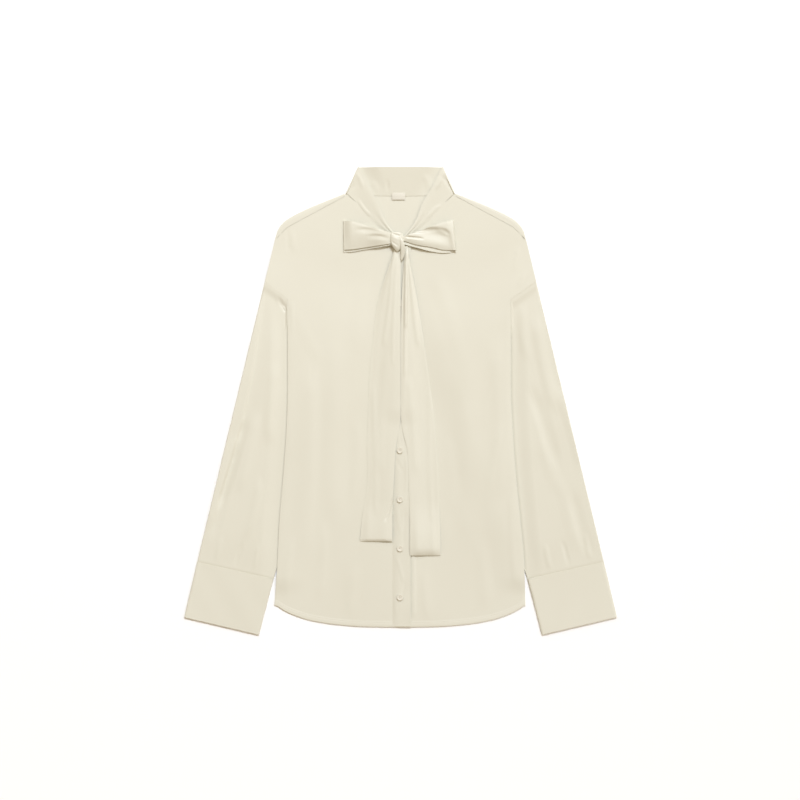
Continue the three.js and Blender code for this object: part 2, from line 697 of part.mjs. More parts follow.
// Bow loop: back layer out from the knot, a turn, and the front layer in again
function bowLoop(side) {
  const table = side > 0 ? LOOP_LEFT : LOOP_RIGHT;
  const slant = LOOP_SLANT[sideName(side)];
  const start = table[0].x;
  const end = table[table.length - 1].x;
  const columns = 9;
  const layer = (x, bottomKey, shiftX, heightAt) => {
    const row = [];
    for (let i = 0; i <= columns; i++) {
      const part = i / columns;
      const y = mix(lookup(table, "x", bottomKey, x), lookup(table, "x", "top", x), part);
      const lean = slant * (1 - part) * smooth((x - start) / (end - start));
      row.push(new THREE.Vector3((x + shiftX + lean) * side, y, heightAt(x, y, part)));
    }
    return row;
  };
  const baseAt = (x) => mix(LOOP_NEAR_MID, LOOP_FAR_MID, smooth((x - 32) / 34));
  const openAt = (x, part) => {
    const middle = Math.sin(Math.PI * clamp01(part)) ** 0.5;
    const lengthwise = smooth((x - start + 8) / 26) * smooth((end - x) / 16 + 0.12);
    return CLOTH + SEAM * 2 + (LOOP_GAP - SEAM * 2) * lengthwise * middle;
  };
  const radius = LOOP_FOLD;
  const stations = 11;
  const turnAt = end - CLOTH / 2 - radius;
  const grid = [];
  for (let k = 0; k <= stations; k++) {
    const x = mix(start, turnAt, k / stations);
    grid.push(layer(x, "back", 0, () => baseAt(x)));
  }
  for (const degrees of [-60, -30, 0, 30, 60]) {
    const angle = THREE.MathUtils.degToRad(degrees);
    const z = LOOP_FAR_MID + radius + radius * Math.sin(angle);
    const key = degrees <= 0 ? "back" : "front";
    grid.push(layer(turnAt, key, radius * Math.cos(angle), () => z));
  }
  for (let k = stations; k >= 0; k--) {
    const x = mix(start, turnAt, k / stations);
    const blend = smooth((turnAt - x) / 12);
    grid.push(layer(x, "front", 0, (at, y, part) => {
      const open = mix(2 * radius, openAt(at, part), blend);
      return baseAt(at) + open + blend * Math.max(foldsAt(LOOP_PLEATS, at, y, side), -open + CLOTH + SEAM);
    }));
  }
  return wall(grid, CLOTH);
}

// Knot
function bowKnot() {
  const rings = [];
  const round = 16;
  for (const { y, from, to, top } of KNOT) {
    const ring = [];
    for (let i = 0; i < round; i++) {
      const angle = (2 * Math.PI * i) / round;
      const cos = Math.sign(Math.cos(angle)) * Math.abs(Math.cos(angle)) ** 0.8;
      const sin = Math.sign(Math.sin(angle)) * Math.abs(Math.sin(angle)) ** 0.8;
      const x = mix(from, to, 0.5) + (cos * (to - from)) / 2;
      const crown = sin > 0 ? foldsAt(KNOT_CREASES, x, y, 0) * sin : 0;
      const z = sin > 0 ? mix(KNOT_LOW + 1.2, top, sin) + crown : mix(KNOT_LOW + 1.2, KNOT_LOW, -sin);
      ring.push(new THREE.Vector3(x, y, z));
    }
    rings.push(ring);
  }
  const fold = [];
  for (let k = 0; k <= 8; k++) {
    const angle = mix(0.12, Math.PI - 0.12, k / 8);
    const ring = [];
    for (let i = 0; i < 10; i++) {
      const turn = (2 * Math.PI * i) / 10;
      const x = KNOT_FOLD.x + KNOT_FOLD.halfWidth * Math.sin(angle) * Math.cos(turn);
      const y = KNOT_FOLD.y + KNOT_FOLD.halfLength * Math.cos(angle);
      const middle = mix(KNOT_FOLD.low, KNOT_FOLD.high, 0.5);
      const z = middle + ((KNOT_FOLD.high - KNOT_FOLD.low) / 2) * Math.sin(angle) * Math.sin(turn);
      ring.push(new THREE.Vector3(x, y, z));
    }
    fold.push(ring);
  }
  return join([loft(rings), loft(fold)]);
}

// Tie end
function tieTail(table) {
  const grid = [];
  const top = table[0].y;
  const end = table[table.length - 1].y;
  for (let k = 0; k <= TAIL_ROWS; k++) {
    const y = mix(top, end, (k / TAIL_ROWS) ** 1.12);
    const outer = lookup(table, "y", "outer", y);
    const inner = lookup(table, "y", "inner", y);
    const row = [];
    for (let i = 0; i <= TAIL_COLUMNS; i++) {
      const part = i / TAIL_COLUMNS;
      const x = mix(inner, outer, part);
      const fromMiddle = Math.abs(x - OVER_PLACKET.middle);
      const placket = 1 - smooth((fromMiddle - OVER_PLACKET.full) / (OVER_PLACKET.end - OVER_PLACKET.full));
      const buttons = 1 - smooth((fromMiddle - OVER_BUTTONS.full) / (OVER_BUTTONS.end - OVER_BUTTONS.full));
      const upper = smooth((y - OVER_BUTTONS.low) / (OVER_BUTTONS.high - OVER_BUTTONS.low));
      const pleats = smooth((TAIL_PLEATS.start - y) / (TAIL_PLEATS.start - TAIL_PLEATS.full))
        * smooth((y - TAIL_PLEATS.end) / (TAIL_PLEATS.full - TAIL_PLEATS.end));
      const wave = 0.5 - 0.5 * Math.cos(part * 4 * Math.PI);
      const lift = TAIL_LIFT * smooth((end + TAIL_LIFT_LENGTH - y) / TAIL_LIFT_LENGTH);
      const z = FRONT_TOP + SEAM + CLOTH / 2
        + (PLACKET_TOP - FRONT_TOP) * placket
        + (BUTTON_THICKNESS + SEAM) * buttons * upper
        + TAIL_PLEAT * pleats * wave
        + lift;
      row.push(new THREE.Vector3(x, y, z));
    }
    grid.push(row);
  }
  return wall(grid, CLOTH);
}

// Button: a low disc with a dished face
function button(index) {
  const profile = [
    [0, 0],
    [BUTTON_RADIUS * 0.9, 0],
    [BUTTON_RADIUS, BUTTON_THICKNESS * 0.4],
    [BUTTON_RADIUS * 0.86, BUTTON_THICKNESS],
    [BUTTON_RADIUS * 0.55, BUTTON_THICKNESS * 0.72],
    [0, BUTTON_THICKNESS * 0.72],
  ].map(([r, z]) => new THREE.Vector2(r, z));
  const geometry = new THREE.LatheGeometry(profile, 14);
  geometry.rotateX(Math.PI / 2);
  geometry.translate(BUTTON_X, BUTTON_TOP - BUTTON_PITCH * index, PLACKET_TOP + SEAM);
  return geometry;
}

function label() {
  const geometry = new THREE.BoxGeometry(LABEL.width, LABEL.height, LABEL.thickness);
  geometry.translate(LABEL.x, LABEL.y, LABEL.low + LABEL.thickness / 2);
  return geometry;
}

const blouse = new THREE.Group();
blouse.name = "blouse";

function add(name, geometry, look) {
  geometry.computeVertexNormals();
  const material = new THREE.MeshStandardMaterial({ ...look, metalness: 0, side: THREE.DoubleSide });
  const mesh = new THREE.Mesh(geometry, material);
  mesh.name = name;
  blouse.add(mesh);
}

add("back", join([backPanel(), shoulderTurn(1), shoulderTurn(-1)]), SATIN);
for (const side of [1, -1]) {
  add("front_" + sideName(side), frontPanel(side), SATIN);
  add("sleeve_" + sideName(side), sleeve(side), SATIN);
  add("cuff_" + sideName(side), cuff(side), SATIN);
  add("bow_loop_" + sideName(side), bowLoop(side), SATIN);
}
add("placket", placketStrip(), SATIN);
add("collar", collarBand(), SATIN);
add("bow_knot", bowKnot(), SATIN);
add("tie_tail_right", tieTail(TAIL_RIGHT), SATIN);
add("tie_tail_left", tieTail(TAIL_LEFT), SATIN);
add("neck_label", label(), TAG);
for (let index = 0; index < BUTTONS; index++) {
  add("button_" + (index + 1), button(index), PEARL);
}

export default blouse;
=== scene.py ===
import math

import bmesh
import bpy
from mathutils import Matrix, Vector


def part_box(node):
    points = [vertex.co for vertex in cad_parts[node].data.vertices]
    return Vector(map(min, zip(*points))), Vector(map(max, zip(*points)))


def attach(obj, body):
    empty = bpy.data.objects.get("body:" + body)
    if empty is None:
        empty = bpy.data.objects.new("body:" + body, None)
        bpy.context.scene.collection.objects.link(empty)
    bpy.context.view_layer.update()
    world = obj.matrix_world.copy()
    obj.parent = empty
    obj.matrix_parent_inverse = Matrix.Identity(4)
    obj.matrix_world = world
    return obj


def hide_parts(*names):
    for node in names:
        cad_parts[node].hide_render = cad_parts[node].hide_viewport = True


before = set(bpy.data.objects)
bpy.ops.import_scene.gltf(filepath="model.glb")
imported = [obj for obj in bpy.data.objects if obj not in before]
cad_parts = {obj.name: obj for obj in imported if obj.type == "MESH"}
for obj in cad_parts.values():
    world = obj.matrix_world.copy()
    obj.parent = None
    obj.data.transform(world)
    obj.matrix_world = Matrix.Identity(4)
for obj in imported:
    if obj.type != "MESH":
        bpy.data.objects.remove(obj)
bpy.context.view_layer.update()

# A satin blouse with a tie collar in a bow, laid flat on its back and seen straight from above.
# Tables and grids are in millimetres, with the wearer's left at +X and the collar at +Y.
MM = 0.001

# Thickness of the cloth in each piece, the gap at a seam, and the heights of the layers above the surface
CLOTH = 0.8
DOUBLE = 1.4
PLACKET_SHELL = 1.2
KNOT_SHELL = 0.6
KNOT_END_SHELL = 0.4
SEAM = 0.3
PANEL = 1.0
PLACKET_CLOTH = 1.5
BACK_MID = PANEL / 2
FRONT_MID = BACK_MID + PANEL + SEAM
FRONT_TOP = FRONT_MID + PANEL / 2
PLACKET_MID = FRONT_TOP + SEAM + PLACKET_CLOTH / 2
PLACKET_TOP = PLACKET_MID + PLACKET_CLOTH / 2


def table(columns, *rows):
    """Named columns from rows of numbers."""
    return dict(zip(columns.split(), zip(*rows)))


# Body: half widths of the side edge, the hem's curve, the shoulder and the neck
ARMHOLE_LOW = 168
ARMHOLE_HIGH = 198
SHOULDER_TIP = 267
BODY_EDGE = table(
    "y left right",
    (-340, 207.3, 209.3),
    (-278, 205.3, 204.5),
    (-198, 198.4, 200.6),
    (-132, 191.7, 195.0),
    (-40, 185.1, 188.6),
    (20, 182.6, 186.8),
    (ARMHOLE_LOW, 182.6, 186.8),
)
ARM_EDGE = table(
    "y left right",
    (ARMHOLE_LOW, 182.6, 186.8),
    (ARMHOLE_HIGH, 224.9, 224.9),
    (SHOULDER_TIP, 208.3, 208.3),
)
HEM_CORNER = -340
HEM_FADE = 170
HEM = 8.0
HEM_THICKER = 0.3
HEM_GROOVE = 0.22
HEM_DROP = table(
    "x drop",
    (0, 35.6),
    (60, 34.6),
    (111, 30.6),
    (150, 24.0),
    (171, 17.6),
    (190, 9.6),
    (200, 3.4),
    (206, 0),
    (226, 0),
)
SHOULDER = table("x y", (90.5, 344.9), (178.5, 306.7), (196.7, 293.4), (205, 280.1), (208.3, SHOULDER_TIP))
SHOULDER_SEAM = table("x y", (88, 341.2), (187.5, 287.6), (208.3, SHOULDER_TIP))
BACK_NECK = table("x y", (0, 339.5), (60, 341.1), (93, 343.9))
TURN_START = 93
TURN_DEEPEST = 14
FRONT_EDGE = {"left": -12.8, "right": 13.2}
NECKLINE = table(
    "step x y",
    (0, 0, ARMHOLE_HIGH),
    (1, 0, 228),
    (2, 0, 258),
    (3, 17.5, 276),
    (4, 34.6, 290.2),
    (5, 57.0, 311),
    (6, 67.6, 324),
    (7, 88, 341.2),
)
EDGE_ROUNDING = 0.42
FRONT_DEEPEST = -0.2

# Placket: its strip, how deep one edge is sewn in, how far the other stands off, and the pull of the buttons
PLACKET_FROM = -14.1
PLACKET_TO = 16.9
PLACKET_MIDDLE = 1.4
PLACKET_HIGH = 262
PLACKET_END = 0.9
PLACKET_SEWN = 1.95
PLACKET_FREE = 0.6
PLACKET_PULL = 0.3

# Sleeves and cuffs
SLEEVE_FLAT = 2.6
SLEEVE_PUFF = 2.6
SLEEVE_DEEPEST = -1.5
CUFF_HEIGHT = 4.0
# Depth of the armhole's groove, and how far a sleeve dips beside the edge of the body and at the cuff
SEAM_DIP = {"left": 0.6, "right": 0.2}
EDGE_DIP = {"left": 0.95, "right": 0.3}
CUFF_DIP = 0.7
CUFF_TUCK = 0.9
CUFF_LENGTH = 94
ARMHOLE_REACH = 224
MOUTH = table(
    "part left right y",
    (0, 225.2, 225.2, 197.2),
    (0.26, 183.1, 187.3, 167.4),
    (0.42, 183.1, 187.3, 131),
    (1, 85.5, 85.5, 88),
)
CUFF_SEAM = {"outer": (337.8, -268.5), "inner": (210.8, -296.7)}
CUFF_END = {"outer": (359.1, -358.8), "inner": (234.6, -388.0)}
BODY_RISE = SLEEVE_FLAT + SEAM
RISE_MARGIN = 7
RISE_WIDTH = {"side": 55, "top": 110}
RISE_END = (-325, -292)

# Collar
COLLAR_FRONT_MID = 3.4
COLLAR_TOP = 387.6
COLLAR_RISE = 5.0
COLLAR_BACK_MID = 0.8
COLLAR_PRESSED = 2.0
COLLAR_GATHER = 0.4
COLLAR_FRONT = table(
    "at low_x low_y high_x high_y gather",
    (0, 88.6, 344.0, 68.7, 387.1, 0),
    (0.25, 68.2, 323.3, 54.0, 358.1, 0.1),
    (0.5, 57.8, 310.0, 36.0, 326.0, 0.4),
    (0.75, 35.0, 289.1, 26.0, 300.5, 0.9),
    (1, 17.9, 275.4, 12.8, 281.0, 1),
    (1.25, 8.5, 264.5, 3.0, 271.5, 1),
)
COLLAR_BACK_LOW = table("x y", (0, 339.95), (60, 341.5), (88.6, 344.0))

# Bow: the loops' edges, their openings and their turn at the outer end, the knot and the tie ends
LOOP_RIGHT = table(
    "x top front back",
    (17.2, 278.5, 260.2, 257.4),
    (35, 283.6, 257.6, 254.4),
    (60, 291.4, 253.8, 250.2),
    (82, 297.2, 250.8, 246.6),
    (94.3, 298.4, 250.2, 245.8),
)
LOOP_LEFT = table(
    "x top front back",
    (6.9, 273.4, 264.5, 258.7),
    (28, 279.8, 258.0, 253.0),
    (49.5, 288.2, 254.4, 247.3),
    (68, 295.2, 250.2, 244.9),
    (88, 299.1, 249.4, 246.6),
)
LOOP_START = 5
LOOP_SLANT = {"left": 4.0, "right": 0}
LOOP_END = {"left": 4.0, "right": 1.4}
LOOP_RADIUS = {"left": 2.8, "right": 1.2}
LOOP_SLOPE = {"left": 8, "right": 13}
LOOP_OPEN_LOW = {"left": 2.6, "right": 3.3}
LOOP_OPEN_HIGH = {"left": 6.8, "right": 8.0}
LOOP_BULGE = 1.6
LOOP_NEAR_OPEN = 2.4
LOOP_THINNEST = 1.3
LOOP_BACK_LIFT = (-0.4, 0.75)
LOOP_NEAR_MID = 6.2
LOOP_FAR_MID = FRONT_TOP + SEAM + PANEL / 2
KNOT_LOW = 8.0
KNOT_WAIST = 1.2
KNOT_STEP = 1.6
KNOT_ROUNDING = (0.72, 0.62)
KNOT = table(
    "y start end top",
    (247.4, -6.8, -3.4, 10.0),
    (250.5, -9.6, -0.6, 11.8),
    (255.0, -13.0, 2.2, 13.2),
    (260.0, -15.6, 4.6, 14.0),
    (266.0, -16.6, 6.1, 14.3),
    (272.0, -16.6, 5.4, 14.0),
    (276.5, -15.6, 3.0, 13.2),
    (279.0, -13.4, -1.0, 11.6),
)
TAIL_RIGHT = table(
    "y outer inner",
    (-233, -67.2, -13.4),
    (-198, -63.9, -13.4),
    (-122, -54.6, -10.4),
    (-80, -55.4, -8.0),
    (-50, -54.6, -3.0),
    (-37, -54.3, -0.9),
    (-22, -53.9, 0.4),
    (35, -52.0, 0.4),
    (98, -46.1, 0.4),
    (149, -40.7, 0.3),
    (190, -30.2, 0.3),
    (215, -22.0, 0.3),
    (242, -12.4, 0.3),
    (256, -9.5, 0.3),
)
TAIL_LEFT = table(
    "y outer inner",
    (-256.5, 66.4, 15.8),
    (-203, 65.2, 15.8),
    (-142, 63.6, 14.1),
    (-87, 60.8, 12.0),
    (-50, 58.0, 3.8),
    (-37, 56.7, 1.9),
    (-24, 55.4, 0.75),
    (35, 47.6, 0.75),
    (121, 35.2, 0.8),
    (172, 26.6, 2.2),
    (205, 20.5, 4.0),
    (235, 14.6, 6.4),
    (256, 12.0, 7.0),
)
TAIL_LIFT = {"left": 4.2, "right": 2.4}
TAIL_LIFT_LENGTH = {"left": 90, "right": 70}
TAIL_PLEAT = {"left": 0.9, "right": 0.5}
TAIL_CURL = {"left": 14.0, "right": 5.0}
TAIL_PLEATS = (40, 238)
TAILS_ON_BUTTONS = -43
# Share of the width over which the outer edge falls, and how far; the inner edge falls less
TAIL_EDGE = {"left": (0.05, 0.35), "right": (0.22, 0.75)}
TAIL_INNER = (0.07, 0.12)

# Buttons and label
BUTTON_RADIUS = 5
BUTTON_THICKNESS = 1.7
BUTTON_X = -0.8
BUTTON_TOP = 242.8
BUTTON_PITCH = 81.3
BUTTONS = 8
BUTTON_RIM = 1.1
BUTTON_DISH = (0.9, 0.35)
BUTTON_EDGE = 0.22
HOLE = 0.95
HOLE_RADIUS = 0.42
LABEL_EDGE = 0.3

# Stitches: pitch, length, width and depth. Real ones are about 2 mm long and 0.3 mm wide, and these are
# drawn coarser, so that they show.
STITCH_PITCH = 3.4
SEAM_STITCH = (2.6, 0.5, 0.14)
BUTTON_STITCH = (2.9, 0.7, 0.3)



def fold_table(*rows):
    """Soft folds of a piece: each is a ridge or a trough (height below 0) from one point to another,
    bent sideways in the middle, and steeper on its right (steep above 0) or left (below 0) on the way."""
    return table("side from_x from_y to_x to_y width height bend steep", *rows)


FRONT_FOLDS = fold_table(
    (1, 112, 80, 118, -250, 30, 1.14, 6, 0),
    (1, 156, 100, 162, -160, 26, 0.96, -5, 0.3),
    (1, 170, 150, 126, 70, 18, 0.3, 4, 0.2),
    (1, 20.4, -250, 20.6, -358, 3.4, 1.9, 0, 0.2),
    (1, 20.4, -60, 20.4, -150, 3.2, 1.2, 0, 0.2),
    (1, 54, 214, 98, 60, 20, 0.54, -6, 0),
    (1, 40, -280, 47, -368, 15, 0.6, 3, 0.3),
    (1, 132, -230, 140, -348, 18, 0.72, -3, 0),
    (1, 184, -150, 192, -310, 14, 0.54, 3, 0.4),
    (1, 168, -40, 150, -150, 14, 0.48, 5, -0.3),
    (1, 196, 256, 188, 214, 6, 0.48, 1, 0.5),
    (1, 206, 214, 196, 186, 5, 0.48, 1, 0.5),
    (1, 78, -60, 84, -190, 14, 0.42, -4, 0),
    (-1, 104, 110, 109, -210, 28, 1.08, -5, 0),
    (-1, 150, 60, 160, -260, 28, 1.14, 6, 0.3),
    (-1, 172, 150, 130, 66, 18, 0.3, -4, 0.2),
    (-1, 179.5, 164, 178, 112, 4.0, 0.48, 0, 0.3),
    (-1, 187.2, 286, 186, 250, 4, -0.9, 1, 0.4),
    (-1, 178, 282, 174, 246, 8, 0.42, -2, 0),
    (-1, 60, 204, 94, 40, 21, 0.54, 6, 0),
    (-1, 74, -270, 82, -362, 17, 0.66, -3, 0),
    (-1, 128, -200, 134, -330, 16, 0.54, 4, 0.3),
    (-1, 178, -230, 188, -326, 13, 0.54, -3, 0.4),
    (-1, 72, -30, 80, -170, 14, 0.42, 4, 0),
)
# Shallow creases where the back and the undersides of the sleeves lift a little off what they lie on
UNDER_FOLDS = fold_table(
    (1, 60, 240, 96, 40, 12, 0.38, 6, 0.2),
    (1, 120, 60, 112, -210, 13, 0.4, -6, 0),
    (1, 48, -120, 58, -330, 11, 0.36, 4, 0.3),
    (1, 158, -110, 172, -300, 10, 0.4, 3, -0.3),
    (1, 214, 120, 262, -90, 9, 0.4, 5, 0.3),
    (1, 300, -40, 318, -220, 8, 0.38, -3, 0),
    (1, 244, -120, 262, -262, 7, 0.4, 3, -0.2),
    (-1, 70, 226, 92, 10, 13, 0.36, -6, 0),
    (-1, 128, 20, 126, -190, 11, 0.4, 5, 0.3),
    (-1, 36, -90, 50, -300, 12, 0.34, -4, 0),
    (-1, 166, -150, 176, -318, 9, 0.4, -3, 0.3),
    (-1, 220, 100, 270, -120, 10, 0.38, -4, 0),
    (-1, 292, -10, 322, -204, 8, 0.4, 3, 0.3),
    (-1, 238, -150, 250, -270, 7, 0.36, -3, 0),
)
PLACKET_FOLDS = fold_table(
    (0, 6, -8, 2, -66, 3.0, 0.7, 1, 0.3),
    (0, -8, -20, -3, -72, 3.0, 0.5, -1, 0),
    (0, -6, -98, 4, -118, 2.5, -0.5, 0.5, 0),
    (0, 9, -92, 8, -150, 3.0, 0.7, -1, 0.3),
    (0, -6, -178, 2, -222, 3.0, 0.5, 1, 0),
    (0, 8, -186, 5, -236, 2.6, -0.5, 0.5, 0),
    (0, -6, -262, 4, -300, 3.0, 0.6, -1, 0.3),
    (0, 8, -300, 2, -338, 3.0, -0.5, 1, 0),
    (0, -9, -318, -7, -356, 2.6, 0.4, 0.5, 0),
)
SLEEVE_FOLDS = fold_table(
    (-1, 227, 160, 268, -66, 27, -1.9, 4.5, -0.82),
    (-1, 259, -30, 303, -176, 13, -2.2, 2, -0.5),
    (-1, 272, -72, 315, -228, 14, -1.2, 2, -0.4),
    (-1, 240, -20, 268, -150, 15, 1.2, 2, 0),
    (-1, 274, -60, 318, -212, 14, 0.8, -4, 0),
    (-1, 232, -130, 258, -230, 14, 1.1, 4, 0.3),
    (-1, 206, 60, 218, -70, 14, 1.1, -3, 0),
    (-1, 202, 172, 186.5, 146, 4.0, -2.2, -1, 0.4),
    (-1, 236, -240, 244, -282, 6, 0.6, 1, 0),
    (-1, 262, -236, 276, -278, 6, -0.6, -1, 0),
    (-1, 298, -226, 308, -270, 7, 0.6, 1, 0),
    (1, 224, 140, 258, -20, 17, 1.2, 4, 0.2),
    (1, 216, 20, 256, -110, 18, -1.3, -3, 0.2),
    (1, 238, -60, 262, -150, 17, 0.6, 3, 0),
    (1, 283, -150, 313, -256, 16, -0.9, 2, 0.2),
    (1, 262, -130, 290, -246, 16, 0.5, -3, 0),
    (1, 262, 20, 300, -110, 15, 1.0, -4, -0.2),
    (1, 202, 160, 208, 70, 12, 0.8, 3, 0),
    (1, 240, -238, 250, -284, 7, 0.6, 1, 0),
    (1, 268, -232, 279, -276, 6, -0.6, -1, 0),
    (1, 306, -220, 316, -266, 7, 0.6, 1, 0),
)
COLLAR_FOLDS = fold_table(
    (-1, 22, 368, 21, 346, 5.0, -0.8, 0.5, 0.2),
    (-1, 75, 380, 62, 352, 6.0, 0.6, 2, 0.3),
    (-1, 82, 350, 66, 372, 5.0, -0.5, -2, 0),
    (-1, 70, 334, 48, 306, 5.0, 0.6, -2, 0.3),
    (-1, 46, 362, 38, 346, 8.0, 0.5, 1, 0),
    (1, 72, 381, 58, 350, 6.0, 0.9, -2, -0.3),
    (1, 84, 350, 66, 374, 4.0, -0.9, 2, 0),
    (1, 40, 374, 48, 350, 9.0, 0.7, -2, 0),
    (1, 68, 326, 44, 302, 5.0, 0.6, 2, 0.3),
)
LOOP_FOLDS = fold_table(
    (-1, 76, 284.5, 34, 281.0, 8.5, -0.9, 0.6, 0.5),
    (-1, 55, 273.2, 18, 269.8, 7.5, -1.3, 1, 0.45),
    (1, 16, 277.5, 90, 268.5, 20, -4.0, -4.4, -0.36),
    (1, 12, 277.5, 66, 285.0, 6.5, -1.5, -1.5, -0.4),
    (1, 62, 286.5, 83, 273.0, 6.0, -1.2, -2, -0.4),
    (1, 8, 271.8, 38, 268.6, 3.8, -1.7, 0, -0.3),
    (1, 8, 274.8, 30, 276.0, 3.0, 0.4, -1, 0),
)
TAIL_FOLDS = fold_table(
    (-1, -11, 246, -29, 90, 7.0, 0.8, -2, 0.3),
    (-1, -6, 244, -13, 60, 5.0, 0.5, 1, -0.3),
    (-1, -22, 80, -34, -120, 12.0, 0.6, 3, 0),
    (-1, -13, -160, -26, -200, 3.4, -1.3, -1, 0.3),
    (-1, -48, 30, -42, -190, 9.0, 0.5, -3, 0.3),
    (1, 11, 250, 8.4, 120, 5.5, 1.5, 0.4, 0.3),
    (1, 10, 250, 7.2, 40, 5.0, 0.8, 0.5, 0.3),
    (1, 8.5, 180, 6.0, -10, 6.0, 0.5, 0.5, 0.3),
    (1, 15, 236, 30, 90, 6.0, 0.7, 1.5, 0),
    (1, 12, 40, 26, -120, 10.0, 0.6, -2, 0),
    (1, 50, 20, 53, -200, 9.0, 0.5, 3, -0.3),
)
KNOT_FOLDS = fold_table(
    (0, -15.5, 277.0, 1.0, 272.4, 2.6, -1.6, 0.4, 0.3),
    (0, -15, 271.0, -2, 263.5, 4.2, 0.5, -1, 0.3),
    (0, -15.5, 265.0, -4, 256.0, 2.6, -0.8, 0.6, 0.2),
    (0, -10.5, 259.5, -4.5, 250.5, 2.2, 0.5, 0.3, 0),
)
# The turned-over end of the knot, hanging beside its point
KNOT_END = table(
    "y middle half z",
    (231.5, 1.4, 0.3, 8.0),
    (235, 2.2, 2.0, 8.6),
    (242, 3.5, 3.5, 9.9),
    (250, 3.9, 3.9, 12.0),
    (258, 3.2, 3.7, 13.6),
    (265, 1.6, 2.8, 14.2),
    (271, -0.4, 0.5, 13.6),
)


def clamp01(t):
    return min(max(t, 0.0), 1.0)


def smooth(t):
    t = clamp01(t)
    return t * t * (3 - 2 * t)


def mix(a, b, t):
    return a + (b - a) * t


def lookup(rows, column, at):
    """Straight from row to row of a table, by its first column."""
    keys, values = next(iter(rows.values())), rows[column]
    if at <= keys[0]:
        return values[0]
    for i in range(1, len(keys)):
        if at <= keys[i]:
            return mix(values[i - 1], values[i], (at - keys[i - 1]) / (keys[i] - keys[i - 1]))
    return values[-1]


def sweep(rows, column, at):
    """A smooth curve through the rows of a table, by its first column, that doesn't swing past them."""
    keys, values = next(iter(rows.values())), rows[column]
    if at <= keys[0]:
        return values[0]
    if at >= keys[-1]:
        return values[-1]
    i = max(j for j in range(len(keys) - 1) if keys[j] <= at)

    def slope(j):
        return (values[j + 1] - values[j]) / (keys[j + 1] - keys[j])

    def tangent(j):
        if j == 0:
            return slope(0)
        if j == len(keys) - 1:
            return slope(j - 1)
        before, after = slope(j - 1), slope(j)
        return 0.0 if before * after <= 0 else 2 * before * after / (before + after)

    width = keys[i + 1] - keys[i]
    t = (at - keys[i]) / width
    start = (1 + 2 * t) * (1 - t) ** 2 * values[i] + t * (1 - t) ** 2 * width * tangent(i)
    end = t * t * (3 - 2 * t) * values[i + 1] + t * t * (t - 1) * width * tangent(i + 1)
    return start + end


def folds_at(folds, x, y, side=0):
    """Height of the soft folds at a point."""
    height = 0.0
    for n, fold_side in enumerate(folds["side"]):
        if side and fold_side != side:
            continue
        x0, y0 = folds["from_x"][n], folds["from_y"][n]
        dx, dy = folds["to_x"][n] - x0, folds["to_y"][n] - y0
        width = folds["width"][n]
        length = math.hypot(dx, dy)
        along = ((x - x0) * dx + (y - y0) * dy) / length
        part = clamp01(along / length)
        across = ((x - x0) * dy - (y - y0) * dx) / length - folds["bend"][n] * 4 * part * (1 - part)
        steep = folds["steep"][n]
        width *= 1 - max(steep if across > 0 else -steep, 0)
        if abs(across) >= width:
            continue
        reach = min(2.2 * folds["width"][n], length / 2)
        ends = smooth((along + width / 2) / reach) * smooth((length + width / 2 - along) / reach)
        height += folds["height"][n] * ends * (1 - smooth(abs(across) / width))
    return height


def side_name(side):
    return "left" if side > 0 else "right"


# Meshes

def make_active(obj):
    bpy.ops.object.select_all(action="DESELECT")
    obj.select_set(True)
    bpy.context.view_layer.objects.active = obj


def add_object(name, mesh):
    """An object of a finished mesh, made active."""
    data = bpy.data.meshes.new(name)
    mesh.to_mesh(data)
    mesh.free()
    obj = bpy.data.objects.new(name, data)
    bpy.context.collection.objects.link(obj)
    make_active(obj)
    return obj


def cloth(name, grid, thickness, closed=False, offset=0.0, extra=()):
    """A thin shell with its middle on a grid of points. Its UV map is the flat cloth, in metres."""
    mesh = bmesh.new()
    weave = mesh.loops.layers.uv.new("weave")
    for part in (grid, *extra):
        add_grid(mesh, weave, part, closed)
    bmesh.ops.remove_doubles(mesh, verts=mesh.verts, dist=0.02 * MM)
    obj = add_object(name, mesh)
    wall = obj.modifiers.new("wall", "SOLIDIFY")
    wall.thickness = thickness * MM
    wall.offset = offset
    wall.use_even_offset = False
    wall.use_quality_normals = True
    bpy.ops.object.modifier_apply(modifier=wall.name)
    bpy.ops.object.shade_smooth_by_angle(angle=math.radians(55))
    return obj


def add_grid(mesh, weave, grid, closed):
    """Faces between the rows of a grid, each corner with its place along and across the flat cloth."""
    points = [[mesh.verts.new(Vector(p) * MM) for p in row] for row in grid]
    columns = len(grid[0])
    middle = columns // 2
    along = [0.0]
    for before, after in zip(grid, grid[1:]):
        along.append(along[-1] + (Vector(after[middle]) - Vector(before[middle])).length * MM)
    across = []
    count = columns if closed else columns - 1
    for row in grid:
        lengths = [0.0]
        for i in range(count):
            lengths.append(lengths[-1] + (Vector(row[(i + 1) % columns]) - Vector(row[i])).length * MM)
        across.append(lengths)
    for j in range(len(grid) - 1):
        for i in range(count):
            n = (i + 1) % columns
            corners = ((j, i, i), (j, n, i + 1), (j + 1, n, i + 1), (j + 1, i, i))
            face = mesh.faces.new([points[row][column] for row, column, _ in corners])
            for loop, (row, _, step) in zip(face.loops, corners):
                loop[weave].uv = (across[row][step], along[row])


def steps(start, end, count):
    return [mix(start, end, k / count) for k in range(count + 1)]


# Body

def half_width(y, side):
    if y < ARMHOLE_LOW:
        return sweep(BODY_EDGE, side_name(side), y)
    return lookup(ARM_EDGE, side_name(side), y)


def beyond(x, y, start, end):
    """Distance of a point from a line, positive to the middle of the body."""
    dx, dy = end[0] - start[0], end[1] - start[1]
    return -(dx * (y - start[1]) - dy * (x - start[0])) / math.hypot(dx, dy)


